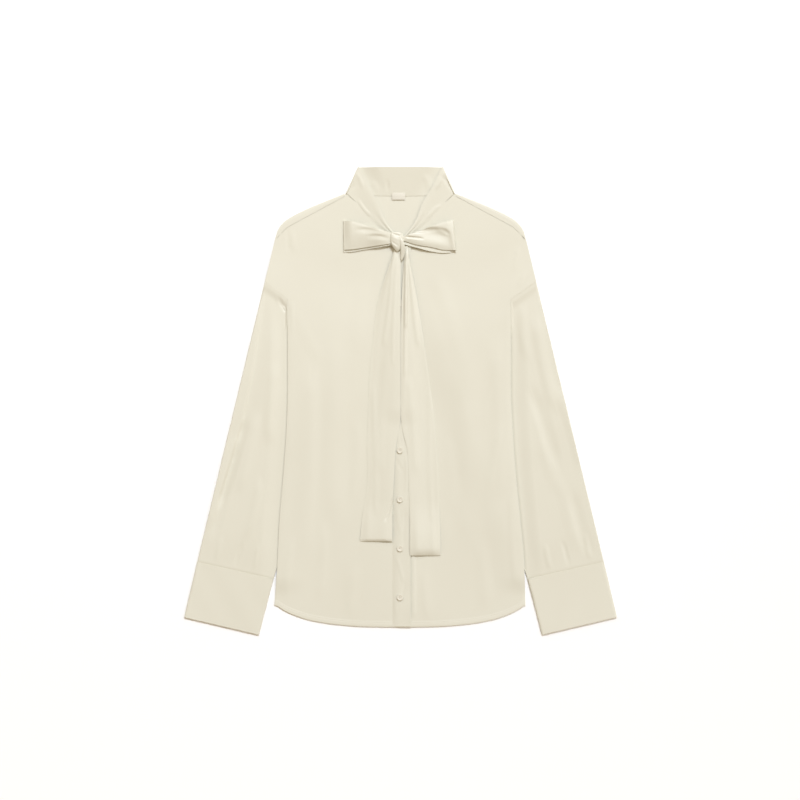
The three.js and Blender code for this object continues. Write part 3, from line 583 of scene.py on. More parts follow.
def rise_at(x, y):
    """Rise of the body over the tucked part of a sleeve."""
    low = (MOUTH["left"][2], MOUTH["y"][2])
    end = (MOUTH["left"][3], MOUTH["y"][3])
    side = 1 - smooth((-beyond(abs(x), y, CUFF_SEAM["inner"], end) - RISE_MARGIN) / RISE_WIDTH["side"])
    top = 1 - smooth((-beyond(abs(x), y, end, low) - RISE_MARGIN) / RISE_WIDTH["top"])
    bottom = smooth((y - RISE_END[0]) / (RISE_END[1] - RISE_END[0]))
    return BODY_RISE * side * top * bottom


def hem_y(x, edge_y):
    drop = sweep(HEM_DROP, "drop", x)
    return edge_y - drop * smooth((HEM_CORNER + HEM_FADE - edge_y) / HEM_FADE)


def shoulder_edge(x):
    """Point of the shoulder outline and the way in from it, in plan."""
    last = SHOULDER["x"][-1]
    point = Vector((x, sweep(SHOULDER, "y", x), 0))
    step = Vector((x + 1, sweep(SHOULDER, "y", min(x + 1, last)), 0)) - point
    if x >= 207:
        # The outline ends here, steeply, so there is no next point to measure to.
        step = Vector((1, -4, 0))
    inward = Vector((step.y, -step.x, 0)).normalized()
    return point, inward


def back_height(x, y, side):
    return BACK_MID + rise_at(x, y) + folds_at(UNDER_FOLDS, x, y, side)


def back_panel():
    """Up from the hem to the neck, and on each side a strip turned forward over the shoulder to its seam."""
    radius = (FRONT_MID - BACK_MID) / 2
    turn = PANEL / 2 + radius
    across = steps(-1, 1, 124)
    rows = steps(HEM_CORNER, ARMHOLE_LOW, 130) + steps(ARMHOLE_LOW, ARMHOLE_HIGH, 9)[1:]
    grid = []
    for edge_y in rows:
        row = []
        for u in across:
            side = 1 if u > 0 else -1
            x = abs(u) * half_width(edge_y, side)
            y = hem_y(x, edge_y)
            row.append((x * side, y, back_height(x, y, side)))
        grid.append(row)
    tops = []
    for u in across:
        side = 1 if u > 0 else -1
        x = abs(u) * half_width(SHOULDER_TIP, side)
        if x < TURN_START:
            tops.append((x * side, sweep(BACK_NECK, "y", x)))
        else:
            point, inward = shoulder_edge(x)
            base = point + inward * turn
            tops.append((base.x * side, base.y))
    high = grid[-1]
    for part in steps(0, 1, 20)[1:]:
        lift = smooth((1 - part) / 0.12)
        row = []
        for start, top in zip(high, tops):
            x, y = mix(start[0], top[0], part), mix(start[1], top[1], part)
            row.append((x, y, mix(BACK_MID, back_height(abs(x), y, 1 if x > 0 else -1), lift)))
        grid.append(row)
    turns = []
    for side in (-1, 1):
        strip = []
        for u in across:
            x = abs(u) * half_width(SHOULDER_TIP, side)
            if u * side <= 0 or x < TURN_START:
                continue
            point, inward = shoulder_edge(x)
            reach = turn + 0.5
            while reach < TURN_DEEPEST:
                at = point + inward * reach
                if at.y <= lookup(SHOULDER_SEAM, "y", at.x) + SEAM * 1.6:
                    break
                reach += 0.1
            column = []
            for degrees in (-90, -60, -30, 0, 30, 60, 90):
                angle = math.radians(degrees)
                at = point + inward * (turn - radius * math.cos(angle))
                column.append((at.x * side, at.y, BACK_MID + radius + radius * math.sin(angle)))
            for part in (0.5, 1):
                at = point + inward * mix(turn, max(reach, turn + 0.4), part)
                column.append((at.x * side, at.y, FRONT_MID))
            strip.append(column)
        turns.append([list(row) for row in zip(*strip)])
    return cloth("back_cloth", grid, CLOTH, extra=turns)


def hem_fold(x, y):
    """The hem is turned up twice and stitched: a little thicker, with a groove along the stitches."""
    up = y - hem_y(abs(x), HEM_CORNER)
    groove = HEM_GROOVE * (1 - smooth(abs(up - HEM + 1) / 0.9))
    return HEM_THICKER * (1 - smooth((up - HEM) / 0.9)) * smooth((up + 0.6) / 1.4) - groove


def front_height(x, y, side):
    edge = half_width(y, side)
    rounded = EDGE_ROUNDING * smooth((x - edge + 5) / 5) * smooth((ARMHOLE_LOW - y) / 14)
    inner = smooth((edge + 1 - x) / 9)
    folds = max(folds_at(FRONT_FOLDS, x, y, side), FRONT_DEEPEST)
    return FRONT_MID + rise_at(x, y) - rounded + inner * folds + hem_fold(x, y)


def front_point(share, edge_y, side):
    edge = FRONT_EDGE[side_name(side)]
    x = mix(edge, half_width(edge_y, side), share)
    return x, hem_y(abs(x), edge_y)


def front_panel(side):
    """Rows along the hem's curve up to the armhole, then fanned between the neckline and the armhole."""
    shares = steps(0, 1, 64)
    neck_x, tip_x = SHOULDER_SEAM["x"][0], SHOULDER_SEAM["x"][-1]
    grid = []
    rows = [HEM_CORNER + up for up in (0, 0.8, 2, 4, 5.8, 6.5, 7, 7.5, 8.2, 9, 10.5)]
    rows += steps(HEM_CORNER + 13, ARMHOLE_LOW, 150) + steps(ARMHOLE_LOW, ARMHOLE_HIGH, 10)[1:]
    for edge_y in rows:
        row = []
        for share in shares:
            x, y = front_point(share, edge_y, side)
            row.append((x * side, y, front_height(x, y, side)))
        grid.append(row)
    for part in steps(0, 1, 35)[1:]:
        step = 7 * part
        inner_y = lookup(NECKLINE, "y", step)
        opening = clamp01(step - 2)
        inner_x = mix(FRONT_EDGE[side_name(side)], lookup(NECKLINE, "x", max(step, 3)), opening)
        outer_y = mix(ARMHOLE_HIGH, SHOULDER_TIP, part)
        outer_x = half_width(outer_y, side)
        row = []
        for share in shares:
            x = mix(inner_x, outer_x, share)
            chord = mix(SHOULDER_SEAM["y"][0], SHOULDER_TIP, clamp01((x - neck_x) / (tip_x - neck_x)))
            bulge = lookup(SHOULDER_SEAM, "y", x) - chord if 0 < share < 1 else 0
            y = mix(inner_y, outer_y, share) + bulge * part ** 2
            row.append((x * side, y, front_height(x, y, side)))
        grid.append(row)
    if side < 0:
        grid = [row[::-1] for row in grid]
    return cloth("front_" + side_name(side) + "_cloth", grid, CLOTH)


def placket_height(x, y):
    """Sewn down along the wearer's right edge, free and a little proud along the other."""
    part = (x - PLACKET_FROM) / (PLACKET_TO - PLACKET_FROM)
    free = PLACKET_FREE + 0.25 * math.sin(y / 23) + 0.2 * math.sin(y / 9.5 + 1)
    pull = PLACKET_PULL * math.cos(2 * math.pi * (y - BUTTON_TOP) / BUTTON_PITCH) * (1 - part) * part
    sewn = PLACKET_SEWN * (1 - math.sin(math.pi / 2 * clamp01(part / 0.42)))
    return PLACKET_MID - sewn + free * part ** 3 + pull + folds_at(PLACKET_FOLDS, x, y)


def placket():
    columns = [0, 0.04, 0.09] + steps(0.15, 0.92, 10) + [0.96, 1]
    xs = [mix(PLACKET_FROM, PLACKET_TO, part) for part in columns]
    rows = steps(hem_y(0, HEM_CORNER) + PLACKET_END, PLACKET_HIGH, 200)
    grid = [[(x, y, placket_height(x, y)) for x in xs] for y in rows]
    return cloth("placket_cloth", grid, PLACKET_SHELL)


# Sleeves and cuffs

def sleeve_plan(along, part, side):
    """Point in plan, along from the armhole (0) to the cuff's seam (1), part across from the outer edge."""
    mouth = Vector((lookup(MOUTH, side_name(side), part), lookup(MOUTH, "y", part)))
    seam = Vector(CUFF_SEAM["outer"]).lerp(Vector(CUFF_SEAM["inner"]), part)
    return mouth.lerp(seam, along)


def sleeve_height(x, y, along, side):
    """Puffed where it is clear of the body, flat beside it, and sewn over the body's edge at the armhole."""
    edge = half_width(min(y, ARMHOLE_LOW - 1), side)
    clear = smooth((x - edge - 6) / 24) * smooth(along / 0.17)
    near = smooth((x - edge + 4) / 6) * smooth((along + 0.01) / 0.03)
    puff = mix(SLEEVE_PUFF, CUFF_HEIGHT - SLEEVE_FLAT, smooth((along - 0.86) / 0.14))
    folds = folds_at(SLEEVE_FOLDS, x, y, side) * smooth((0.995 - along) / 0.05)
    dip = CUFF_DIP * smooth((along - 0.991) / 0.009)
    dip += EDGE_DIP[side_name(side)] * (1 - smooth((x - edge - 0.6) / 3)) * smooth((along - 0.035) / 0.02)
    height = SLEEVE_FLAT - dip + max(clear * puff + near * folds, SLEEVE_DEEPEST)
    sewn = (1 - smooth(along / 0.035)) * smooth((x - edge + 2) / 3)
    groove = SEAM_DIP[side_name(side)] * (1 - smooth(abs(along - 0.002) / 0.009))
    top = front_height(min(x, ARMHOLE_REACH), max(y, ARMHOLE_LOW), side) + CLOTH / 2
    return mix(height, top - groove, sewn)


def flat_tube(name, stations, plan, height, thickness, flat, side, count):
    """An open tube pressed flat, from rings on its outer face."""
    radius = flat / 2

    def rounded(at, inward, degrees):
        angle = math.radians(degrees)
        return at + inward * radius * (1 - math.cos(angle)), radius + radius * math.sin(angle)

    grid = []
    for along in stations:
        start, end = plan(along, 0), plan(along, 1)
        width = (end - start).length
        first = (plan(along, 0.02) - start).normalized()
        last = (plan(along, 0.98) - end).normalized()
        upper = [rounded(start, first, degrees) for degrees in (0, 30, 60)]
        for part in steps(0, 1, count):
            part = mix(radius / width, 1 - radius / width, part)
            at = plan(along, part)
            upper.append((at, height(at.x, at.y, along)))
        upper += [rounded(end, last, degrees) for degrees in (60, 30, 0)]
        lower = []
        for at, z in upper[-2:0:-1]:
            lower.append((at, flat - z if z < flat - 0.01 else folds_at(UNDER_FOLDS, at.x, at.y, side)))
        ring = [(at.x * side, at.y, z) for at, z in upper + lower]
        grid.append(ring if side > 0 else ring[::-1])
    return cloth(name, grid, thickness, closed=True, offset=-1)


def sleeve(side):
    def plan(along, part):
        return sleeve_plan(along, part, side)

    def height(x, y, along):
        return sleeve_height(x, y, along, side)

    name = "sleeve_" + side_name(side) + "_cloth"
    stations = [-0.003, 0.002, 0.008, 0.015] + steps(0.022, 0.985, 130) + [0.99, 0.994, 0.997, 1]
    return flat_tube(name, stations, plan, height, CLOTH, SLEEVE_FLAT, side, 100)


def cuff_top(x, y, along, side):
    """A pressed band with a slight wave between its seam and its end."""
    wave = 0.3 * math.sin(x / 17 + side) + 0.2 * math.sin(x / 9 - y / 21)
    return CUFF_HEIGHT + 0.15 + wave * math.sin(math.pi * along)


def cuff(side):
    start = -CUFF_TUCK / CUFF_LENGTH

    def plan(along, part):
        end = Vector(CUFF_END["outer"]).lerp(Vector(CUFF_END["inner"]), part)
        return sleeve_plan(1, part, side).lerp(end, mix(start, 1, along))

    def height(x, y, along):
        return cuff_top(x, y, along, side)

    name = "cuff_" + side_name(side) + "_cloth"
    return flat_tube(name, steps(0, 1, 36), plan, height, DOUBLE, CUFF_HEIGHT, side, 48)


# Collar

def collar():
    """One strip of front band, rounded sides and back band, its edges pressed onto what they are sewn to."""
    parts = [0, 0.02, 0.05, 0.09] + steps(0.14, 0.9, 14) + [0.94, 0.975, 1]

    def row(low, high, z, gather, folds, layer):
        points = []
        for part in parts:
            x, y = mix(low.x, high.x, part), mix(low.y, high.y, part)
            height = COLLAR_GATHER * gather ** 2 * (0.5 - 0.5 * math.cos(part * 4 * math.pi))
            if layer == "front":
                pressed = COLLAR_PRESSED * (1 - smooth(part / 0.95))
                height -= pressed * (1 - 0.25 * gather)
            if layer == "back":
                height += COLLAR_RISE * part * smooth((front_edge(y) - x) / 34)
            points.append((x, y, z + height, folds))
        return points

    half = []
    columns = ("low_x", "low_y", "high_x", "high_y", "gather")
    for at in steps(COLLAR_FRONT["at"][-1], 0, 66):
        low_x, low_y, high_x, high_y, gather = (sweep(COLLAR_FRONT, column, at) for column in columns)
        low, high = Vector((low_x, low_y)), Vector((high_x, high_y))
        half.append(row(low, high, COLLAR_FRONT_MID, gather, 1, "front"))
    radius = (COLLAR_FRONT_MID - COLLAR_BACK_MID) / 2
    edge = (high - low).normalized()
    outward = Vector((edge.y, -edge.x))
    for degrees in range(75, -105, -15):
        angle = math.radians(degrees)
        shift = outward * radius * math.cos(angle)
        z = COLLAR_BACK_MID + radius + radius * math.sin(angle)
        half.append(row(low + shift, high + shift, z, 0, 0, "side"))
    for part in steps(0.96, 0, 40):
        x = low.x * part
        low_at = Vector((x, sweep(COLLAR_BACK_LOW, "y", x) - 0.6))
        high_at = Vector((high.x * part, mix(COLLAR_TOP, high.y, part ** 3)))
        half.append(row(low_at, high_at, COLLAR_BACK_MID, 0, 1, "back"))
    grid = []
    for side, rows in ((1, half), (-1, half[-2::-1])):
        for points in rows:
            grid.append([
                (x * side, y, max(z + folds * folds_at(COLLAR_FOLDS, x, y, side), DOUBLE / 2))
                for x, y, z, folds in points
            ])
    return cloth("collar_cloth", grid, DOUBLE)


def front_edge(y):
    """Where the free edge of the front band runs, at a height on the back band."""
    points = sorted(zip(COLLAR_FRONT["high_y"], COLLAR_FRONT["high_x"]))
    return lookup(table("y x", *points), "x", y)


# Bow

def bow_loop(side):
    """A strip that runs out, turns over and comes back, open at its lower edge."""
    name = side_name(side)
    rows = LOOP_LEFT if side > 0 else LOOP_RIGHT
    start, end = rows["x"][0] - LOOP_START, rows["x"][-1]
    radius = LOOP_RADIUS[name]
    turn_at = end - CLOTH / 2 - LOOP_END[name]

    def base(x):
        """From the height of the knot down to the front that the loop lies on."""
        return mix(LOOP_NEAR_MID, LOOP_FAR_MID, smooth((x - 30) / 30))

    def layer(x, key, shift, height):
        points = []
        for part in steps(0, 1, 36):
            y = mix(sweep(rows, key, x + shift), sweep(rows, "top", x + shift), part)
            lean = LOOP_SLANT[name] * (1 - part) * smooth((x + shift - start) / (end - start))
            points.append(((x + shift + lean) * side, y, height(x + shift, y, part)))
        return points

    def rounded(part):
        return 1 - 0.3 * abs(2 * part - 1) ** 3

    def top_height(x, y, part):
        """High along the upper edge and low along the lower one, falling to the turn at the end."""
        out = smooth((x - start + 6) / 34)
        opened = mix(LOOP_NEAR_OPEN, mix(LOOP_OPEN_LOW[name], LOOP_OPEN_HIGH[name], part), out)
        opened += out * (LOOP_BULGE * math.sin(math.pi * part) - 0.35 * (1 - smooth((1 - part) / 0.1)))
        folds = folds_at(LOOP_FOLDS, x, y, side) * smooth((turn_at + 4 - x) / 9)
        slope = math.sin(math.pi / 2 * clamp01((turn_at - x) / LOOP_SLOPE[name]))
        return base(x) + max(mix(2 * radius * rounded(part), opened + folds, slope), LOOP_THINNEST)

    def back_height_at(x, y, part):
        """The lower edge stands a little off the front it lies on."""
        return base(x) + (1 - part) * mix(*LOOP_BACK_LIFT, smooth((turn_at - x) / 10))

    grid = []
    for x in steps(start, turn_at, 44):
        grid.append(layer(x, "back", 0, back_height_at))
    for degrees in range(-80, 90, 10):
        angle = math.radians(degrees)
        key = "back" if degrees <= 0 else "front"

        def turned(at, y, part, angle=angle):
            return LOOP_FAR_MID + radius * rounded(part) * (1 + math.sin(angle))

        grid.append(layer(turn_at, key, LOOP_END[name] * math.cos(angle), turned))
    for x in steps(turn_at, start, 80):
        grid.append(layer(x, "front", 0, top_height))
    if side > 0:
        grid = [row[::-1] for row in grid]
    return cloth("bow_loop_" + name + "_cloth", grid, CLOTH)


def bow_knot():
    """A rounded turn of the tie, lower along its left side, with its creases on the upper face."""
    grid = []
    for y in steps(KNOT["y"][-1], KNOT["y"][0], 40):
        start, end = sweep(KNOT, "start", y), sweep(KNOT, "end", y)
        top = sweep(KNOT, "top", y)
        ring = []
        for i in range(48):
            angle = 2 * math.pi * i / 48
            cos, sin = math.cos(angle), math.sin(angle)
            cos = math.copysign(abs(cos) ** KNOT_ROUNDING[0], cos)
            sin = math.copysign(abs(sin) ** KNOT_ROUNDING[1], sin)
            x = mix(start, end, 0.5) + cos * (end - start) / 2
            if sin > 0:
                lower = KNOT_STEP * smooth((x + 0.5) / 4)
                z = mix(KNOT_LOW + KNOT_WAIST, top - lower, sin) + folds_at(KNOT_FOLDS, x, y) * sin
            else:
                z = mix(KNOT_LOW + KNOT_WAIST, KNOT_LOW, -sin)
            ring.append((x, y, z))
        grid.append(ring)
    return cloth("bow_knot_cloth", grid, KNOT_SHELL, closed=True, offset=-1)


def knot_end():
    """A soft leaf of cloth with one crease along it."""
    grid = []
    for y in steps(KNOT_END["y"][-1], KNOT_END["y"][0], 44):
        middle, half = sweep(KNOT_END, "middle", y), sweep(KNOT_END, "half", y)
        height = sweep(KNOT_END, "z", y)
        ring = []
        for i in range(28):
            turn = 2 * math.pi * i / 28
            crease = 0.1 * half * (1 - smooth(abs(math.cos(turn) - 0.3) / 0.3)) if math.sin(turn) > 0 else 0
            rise = (0.3 + 0.38 * half) * math.sin(turn) - crease
            ring.append((middle + half * math.cos(turn), y, height + rise))
        grid.append(ring)
    return cloth("bow_knot_end", grid, KNOT_END_SHELL, closed=True, offset=-1)


def tail_height(x, y, part, end, side):
    """Over the placket and its upper buttons, pleated under the bow, with its end lifted a little."""
    from_middle = abs(x - PLACKET_MIDDLE)
    over_placket = 1 - smooth((from_middle - 17) / 32)
    over_buttons = 1 - smooth((from_middle - 8) / 28)
    upper = smooth((y - TAILS_ON_BUTTONS) / 33)
    pleats = smooth((TAIL_PLEATS[1] - y) / 16) * smooth((y - TAIL_PLEATS[0]) / 182)
    wave = 0.5 - 0.5 * math.cos(part * 4 * math.pi)
    from_end = y - end
    name = side_name(side)
    length = TAIL_LIFT_LENGTH[name]
    lift = smooth((length - from_end) / (length - TAIL_CURL[name]))
    lift -= 0.85 * clamp01(1 - from_end / TAIL_CURL[name]) ** 2.3
    lift *= TAIL_LIFT[name] * mix(0.4, 1, smooth(min(part, 1 - part) / 0.28))
    height = FRONT_TOP + SEAM + PANEL / 2 + rise_at(abs(x), y)
    height += (PLACKET_TOP - FRONT_TOP) * over_placket
    height += (BUTTON_THICKNESS + SEAM) * over_buttons * upper
    return height + TAIL_PLEAT[name] * pleats * wave + lift


def tie_tail(side):
    """A flat end of the tie, from its corner up to just under the knot."""
    rows = TAIL_LEFT if side > 0 else TAIL_RIGHT
    outer_share, outer_drop = TAIL_EDGE[side_name(side)]
    inner_share, inner_drop = TAIL_INNER
    end, top = rows["y"][0], rows["y"][-1]
    grid = []
    for from_end in steps(0, 12, 16) + steps(12, top - end, 190)[1:]:
        y = end + from_end
        outer, inner = sweep(rows, "outer", y), sweep(rows, "inner", y)
        row = []
        for part in steps(0, 1, 30):
            x = mix(inner, outer, part)
            inner_edge = smooth(part / inner_share)
            outer_edge = smooth((1 - part) / outer_share)
            folds = folds_at(TAIL_FOLDS, x, y, side) * smooth(from_end / 10)
            folds *= mix(0.3, 1, inner_edge * outer_edge)
            drop = outer_drop * (1 - outer_edge) + inner_drop * (1 - inner_edge)
            row.append((x, y, tail_height(x, y, part, end, side) + folds - drop))
        grid.append(row if side > 0 else row[::-1])
    return cloth("tie_tail_" + side_name(side) + "_cloth", grid, CLOTH)


# Materials

def linear(code):
    """sRGB hex to linear colour."""
    values = [int(code[i:i + 2], 16) / 255 for i in (0, 2, 4)]
    return [v / 12.92 if v <= 0.04045 else ((v + 0.055) / 1.055) ** 2.4 for v in values] + [1.0]


# Places of a colour mix's two colours among its inputs and of its colour among its outputs
MIX_A, MIX_B, MIX_COLOUR = 6, 7, 2


def add_node(tree, kind, settings=None, links=None):
    """A node with its settings, linked from (node, output) pairs. A number names an input by its place."""
    node = tree.nodes.new(kind)
    for name, value in (settings or {}).items():
        if isinstance(name, str) and hasattr(node, name):
            setattr(node, name, value)
        else:
            node.inputs[name].default_value = value
    for name, (source, output) in (links or {}).items():
        tree.links.new(source.outputs[output], node.inputs[name])
    return node


def new_material(name):
    """A material, its node tree, its shader and a node that gives the piece's own coordinates."""
    material = bpy.data.materials.new(name)
    material.use_nodes = True
    tree = material.node_tree
    return material, tree, tree.nodes["Principled BSDF"], add_node(tree, "ShaderNodeTexCoord")


def satin():
    """Ivory polyester satin: smooth floats of thread with a soft, low gloss over a slightly uneven colour."""
    material, tree, shader, place = new_material("ivory satin weave")
    uv = add_node(tree, "ShaderNodeUVMap", {"uv_map": "weave"})
    tint = add_node(tree, "ShaderNodeTexNoise", {"Scale": 7.0, "Detail": 2.0}, {"Vector": (place, "Object")})
    shades = {"data_type": "RGBA", MIX_A: linear("D7D4C4"), MIX_B: linear("DDDBCC")}
    colour = add_node(tree, "ShaderNodeMix", shades, {"Factor": (tint, "Fac")})
    tree.links.new(colour.outputs[MIX_COLOUR], shader.inputs["Base Color"])
    # Real threads are 0.12 mm apart. They are drawn coarser, about 0.9 mm apart, so that they show.
    threads_per_metre = (1100, 180, 1)
    stretch = add_node(tree, "ShaderNodeMapping", {"Scale": threads_per_metre}, {"Vector": (uv, "UV")})
    streaks = {"Scale": 1.0, "Detail": 1.5}
    thread = add_node(tree, "ShaderNodeTexNoise", streaks, {"Vector": (stretch, "Vector")})
    patches = {"Scale": 26.0, "Detail": 3.0}
    grain = add_node(tree, "ShaderNodeTexNoise", patches, {"Vector": (place, "Object")})
    rough = add_node(tree, "ShaderNodeMapRange", {"To Min": 0.42, "To Max": 0.5}, {"Value": (grain, "Fac")})
    tree.links.new(rough.outputs["Result"], shader.inputs["Roughness"])
    relief = {"Strength": 0.12, "Distance": 0.12 * MM}
    bump = add_node(tree, "ShaderNodeBump", relief, {"Height": (thread, "Fac")})
    tree.links.new(bump.outputs["Normal"], shader.inputs["Normal"])
    shader.inputs["IOR"].default_value = 1.5
    shader.inputs["Specular IOR Level"].default_value = 0.6
    shader.inputs["Sheen Weight"].default_value = 0.12
    shader.inputs["Sheen Roughness"].default_value = 0.4
    return material


def pearl():
    """Moulded pearl polyester for the buttons: a clear gloss over a softly clouded body."""
    material, tree, shader, place = new_material("pearl button resin")
    # Clouds of about 4 mm, a little under half the button's width
    clouds = {"Scale": 260.0, "Detail": 3.0, "Distortion": 1.2}
    cloud = add_node(tree, "ShaderNodeTexNoise", clouds, {"Vector": (place, "Object")})
    shades = {"data_type": "RGBA", MIX_A: linear("D8D3C2"), MIX_B: linear("E2DED0")}
    colour = add_node(tree, "ShaderNodeMix", shades, {"Factor": (cloud, "Fac")})
    tree.links.new(colour.outputs[MIX_COLOUR], shader.inputs["Base Color"])
    shader.inputs["Roughness"].default_value = 0.4
    shader.inputs["Coat Weight"].default_value = 0.15
    shader.inputs["Coat Roughness"].default_value = 0.2
    shader.inputs["IOR"].default_value = 1.55
    return material


def tape():
    """Woven polyester tape for the bare neck label: matt, with a fine rib across."""
    material, tree, shader, place = new_material("woven label tape")
    # The real rib is about 0.3 mm wide. It is drawn coarser, 0.8 mm wide, so that it shows.
    ribs = {"Scale": 380.0, "bands_direction": "Y"}
    rib = add_node(tree, "ShaderNodeTexWave", ribs, {"Vector": (place, "Object")})
    shades = {"data_type": "RGBA", MIX_A: linear("D6D2C4"), MIX_B: linear("DEDBCE")}
    colour = add_node(tree, "ShaderNodeMix", shades, {"Factor": (rib, "Fac")})
    tree.links.new(colour.outputs[MIX_COLOUR], shader.inputs["Base Color"])
    bump = add_node(tree, "ShaderNodeBump", {"Strength": 0.2, "Distance": 0.1 * MM}, {"Height": (rib, "Fac")})
    tree.links.new(bump.outputs["Normal"], shader.inputs["Normal"])
    shader.inputs["Roughness"].default_value = 0.7
    return material


def sewing_thread():
    """Polyester sewing thread, a touch whiter than the cloth, with its twist."""
    material, tree, shader, place = new_material("polyester sewing thread")
    # The real twist turns about every 0.4 mm. It is drawn coarser, every 0.7 mm.
    turns = {"Scale": 900.0, "bands_direction": "DIAGONAL"}
    twist = add_node(tree, "ShaderNodeTexWave", turns, {"Vector": (place, "Object")})
    shades = {"data_type": "RGBA", MIX_A: linear("D3CEBC"), MIX_B: linear("E2DECF")}
    colour = add_node(tree, "ShaderNodeMix", shades, {"Factor": (twist, "Fac")})
    tree.links.new(colour.outputs[MIX_COLOUR], shader.inputs["Base Color"])
    shader.inputs["Roughness"].default_value = 0.55
    return material


THREAD = sewing_thread()
SATIN = satin()
PEARL = pearl()
TAPE = tape()


def dress(piece, node, material):
    """Gives a piece its material and its place in the frame."""
    piece.data.materials.append(material)
    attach(piece, "root")
    if node:
        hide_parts(node)
    return piece


def floor():
    """White paper under the blouse, wide enough to fill every view."""
    bpy.ops.mesh.primitive_plane_add(size=12, location=(0, 0, 0))
    plane = bpy.context.active_object
    plane.name = "floor"
    material, tree, shader, place = new_material("white paper sweep")
    grain = add_node(tree, "ShaderNodeTexNoise", {"Scale": 3.0, "Detail": 2.0}, {"Vector": (place, "Object")})
    shades = {"data_type": "RGBA", MIX_A: linear("FAFAFA"), MIX_B: linear("FCFCFC")}
    colour = add_node(tree, "ShaderNodeMix", shades, {"Factor": (grain, "Fac")})
    tree.links.new(colour.outputs[MIX_COLOUR], shader.inputs["Base Color"])
    shader.inputs["Roughness"].default_value = 0.9
    shader.inputs["Specular IOR Level"].default_value = 0.1
    plane.data.materials.append(material)


def round_edges(piece, width, segments):
    edge = piece.modifiers.new("edge", "BEVEL")
    edge.width = width * MM
    edge.segments = segments
    edge.limit_method = "ANGLE"
    edge.angle_limit = math.radians(50)
    bpy.ops.object.modifier_apply(modifier=edge.name)
    bpy.ops.object.shade_smooth_by_angle(angle=math.radians(40))


def top_button():
    """A round button with a raised rim, a dished face and four holes."""
    z = PLACKET_TOP + SEAM
    bpy.ops.mesh.primitive_cylinder_add(
        vertices=48, radius=BUTTON_RADIUS * MM, depth=BUTTON_THICKNESS * MM,
        location=(BUTTON_X * MM, BUTTON_TOP * MM, (z + BUTTON_THICKNESS / 2) * MM),
    )
    disc = bpy.context.active_object
    disc.name = "button_1_pearl"
    bpy.ops.object.transform_apply(location=True, rotation=True, scale=True)
    bpy.ops.object.mode_set(mode="EDIT")
    mesh = bmesh.from_edit_mesh(disc.data)
    for face in mesh.faces:
        face.select_set(face.normal.z > 0.9)
    bmesh.update_edit_mesh(disc.data)
    bpy.ops.mesh.inset(thickness=BUTTON_RIM * MM, depth=0)
    bpy.ops.mesh.inset(thickness=BUTTON_DISH[0] * MM, depth=-BUTTON_DISH[1] * MM)
    bpy.ops.object.mode_set(mode="OBJECT")
    for dx, dy in ((-1, -1), (-1, 1), (1, -1), (1, 1)):
        bpy.ops.mesh.primitive_cylinder_add(
            vertices=12, radius=HOLE_RADIUS * MM, depth=6 * MM,
            location=((BUTTON_X + HOLE * dx) * MM, (BUTTON_TOP + HOLE * dy) * MM, z * MM),
        )
        drill = bpy.context.active_object
        make_active(disc)
        cut = disc.modifiers.new("hole", "BOOLEAN")
        cut.operation = "DIFFERENCE"
        cut.solver = "EXACT"
        cut.object = drill
        bpy.ops.object.modifier_apply(modifier=cut.name)
        bpy.data.objects.remove(drill)
    round_edges(disc, BUTTON_EDGE, 2)
    return disc


def button_row():
    """The button is modelled once and copied down the placket."""
    first = top_button()
    row = [first]
    for number in range(1, BUTTONS):
        disc = first.copy()
        disc.data = first.data.copy()
        disc.name = "button_%d_pearl" % (number + 1)
        disc.data.transform(Matrix.Translation((0, -number * BUTTON_PITCH * MM, 0)))
        bpy.context.collection.objects.link(disc)
        row.append(disc)
    for number, disc in enumerate(row, 1):
        dress(disc, "button_%d" % number, PEARL)


def stitch_path(points):
    """Places and directions at an even pitch along a line of points."""
    places, left = [], STITCH_PITCH / 2
    for start, end in zip(points, points[1:]):
        step = Vector(end) - Vector(start)
        while left <= step.length:
            places.append((Vector(start) + step.normalized() * left, step.normalized()))
            left += STITCH_PITCH
        left -= step.length
    return places


def stitches(name, places, length, width, depth):
    """Short ridged stitches of sewing thread, pointed at both ends, as one mesh."""
    mesh = bmesh.new()
    outline = ((-0.5, 0), (-0.3, -0.5), (0.3, -0.5), (0.5, 0), (0.3, 0.5), (-0.3, 0.5))
    sunk, raised = Vector((0, 0, depth)), Vector((0, 0, depth * 0.7))
    for middle, along in places:
        across = Vector((0, 0, 1)).cross(along).normalized()
        ring = [middle + along * a * length + across * b * width for a, b in outline]
        low = [mesh.verts.new((p - sunk) * MM) for p in ring]
        ridge = [mesh.verts.new((middle + along * a * length + raised) * MM) for a in (-0.3, 0.3)]
        mesh.faces.new(low[::-1])
        mesh.faces.new((low[0], low[1], ridge[0]))
        mesh.faces.new((low[1], low[2], ridge[1], ridge[0]))
        mesh.faces.new((low[2], low[3], ridge[1]))
        mesh.faces.new((low[3], low[4], ridge[1]))
        mesh.faces.new((low[4], low[5], ridge[0], ridge[1]))
        mesh.faces.new((low[5], low[0], ridge[0]))
    bmesh.ops.recalc_face_normals(mesh, faces=mesh.faces)
    obj = add_object(name, mesh)
    bpy.ops.object.shade_smooth_by_angle(angle=math.radians(60))
    dress(obj, None, THREAD)


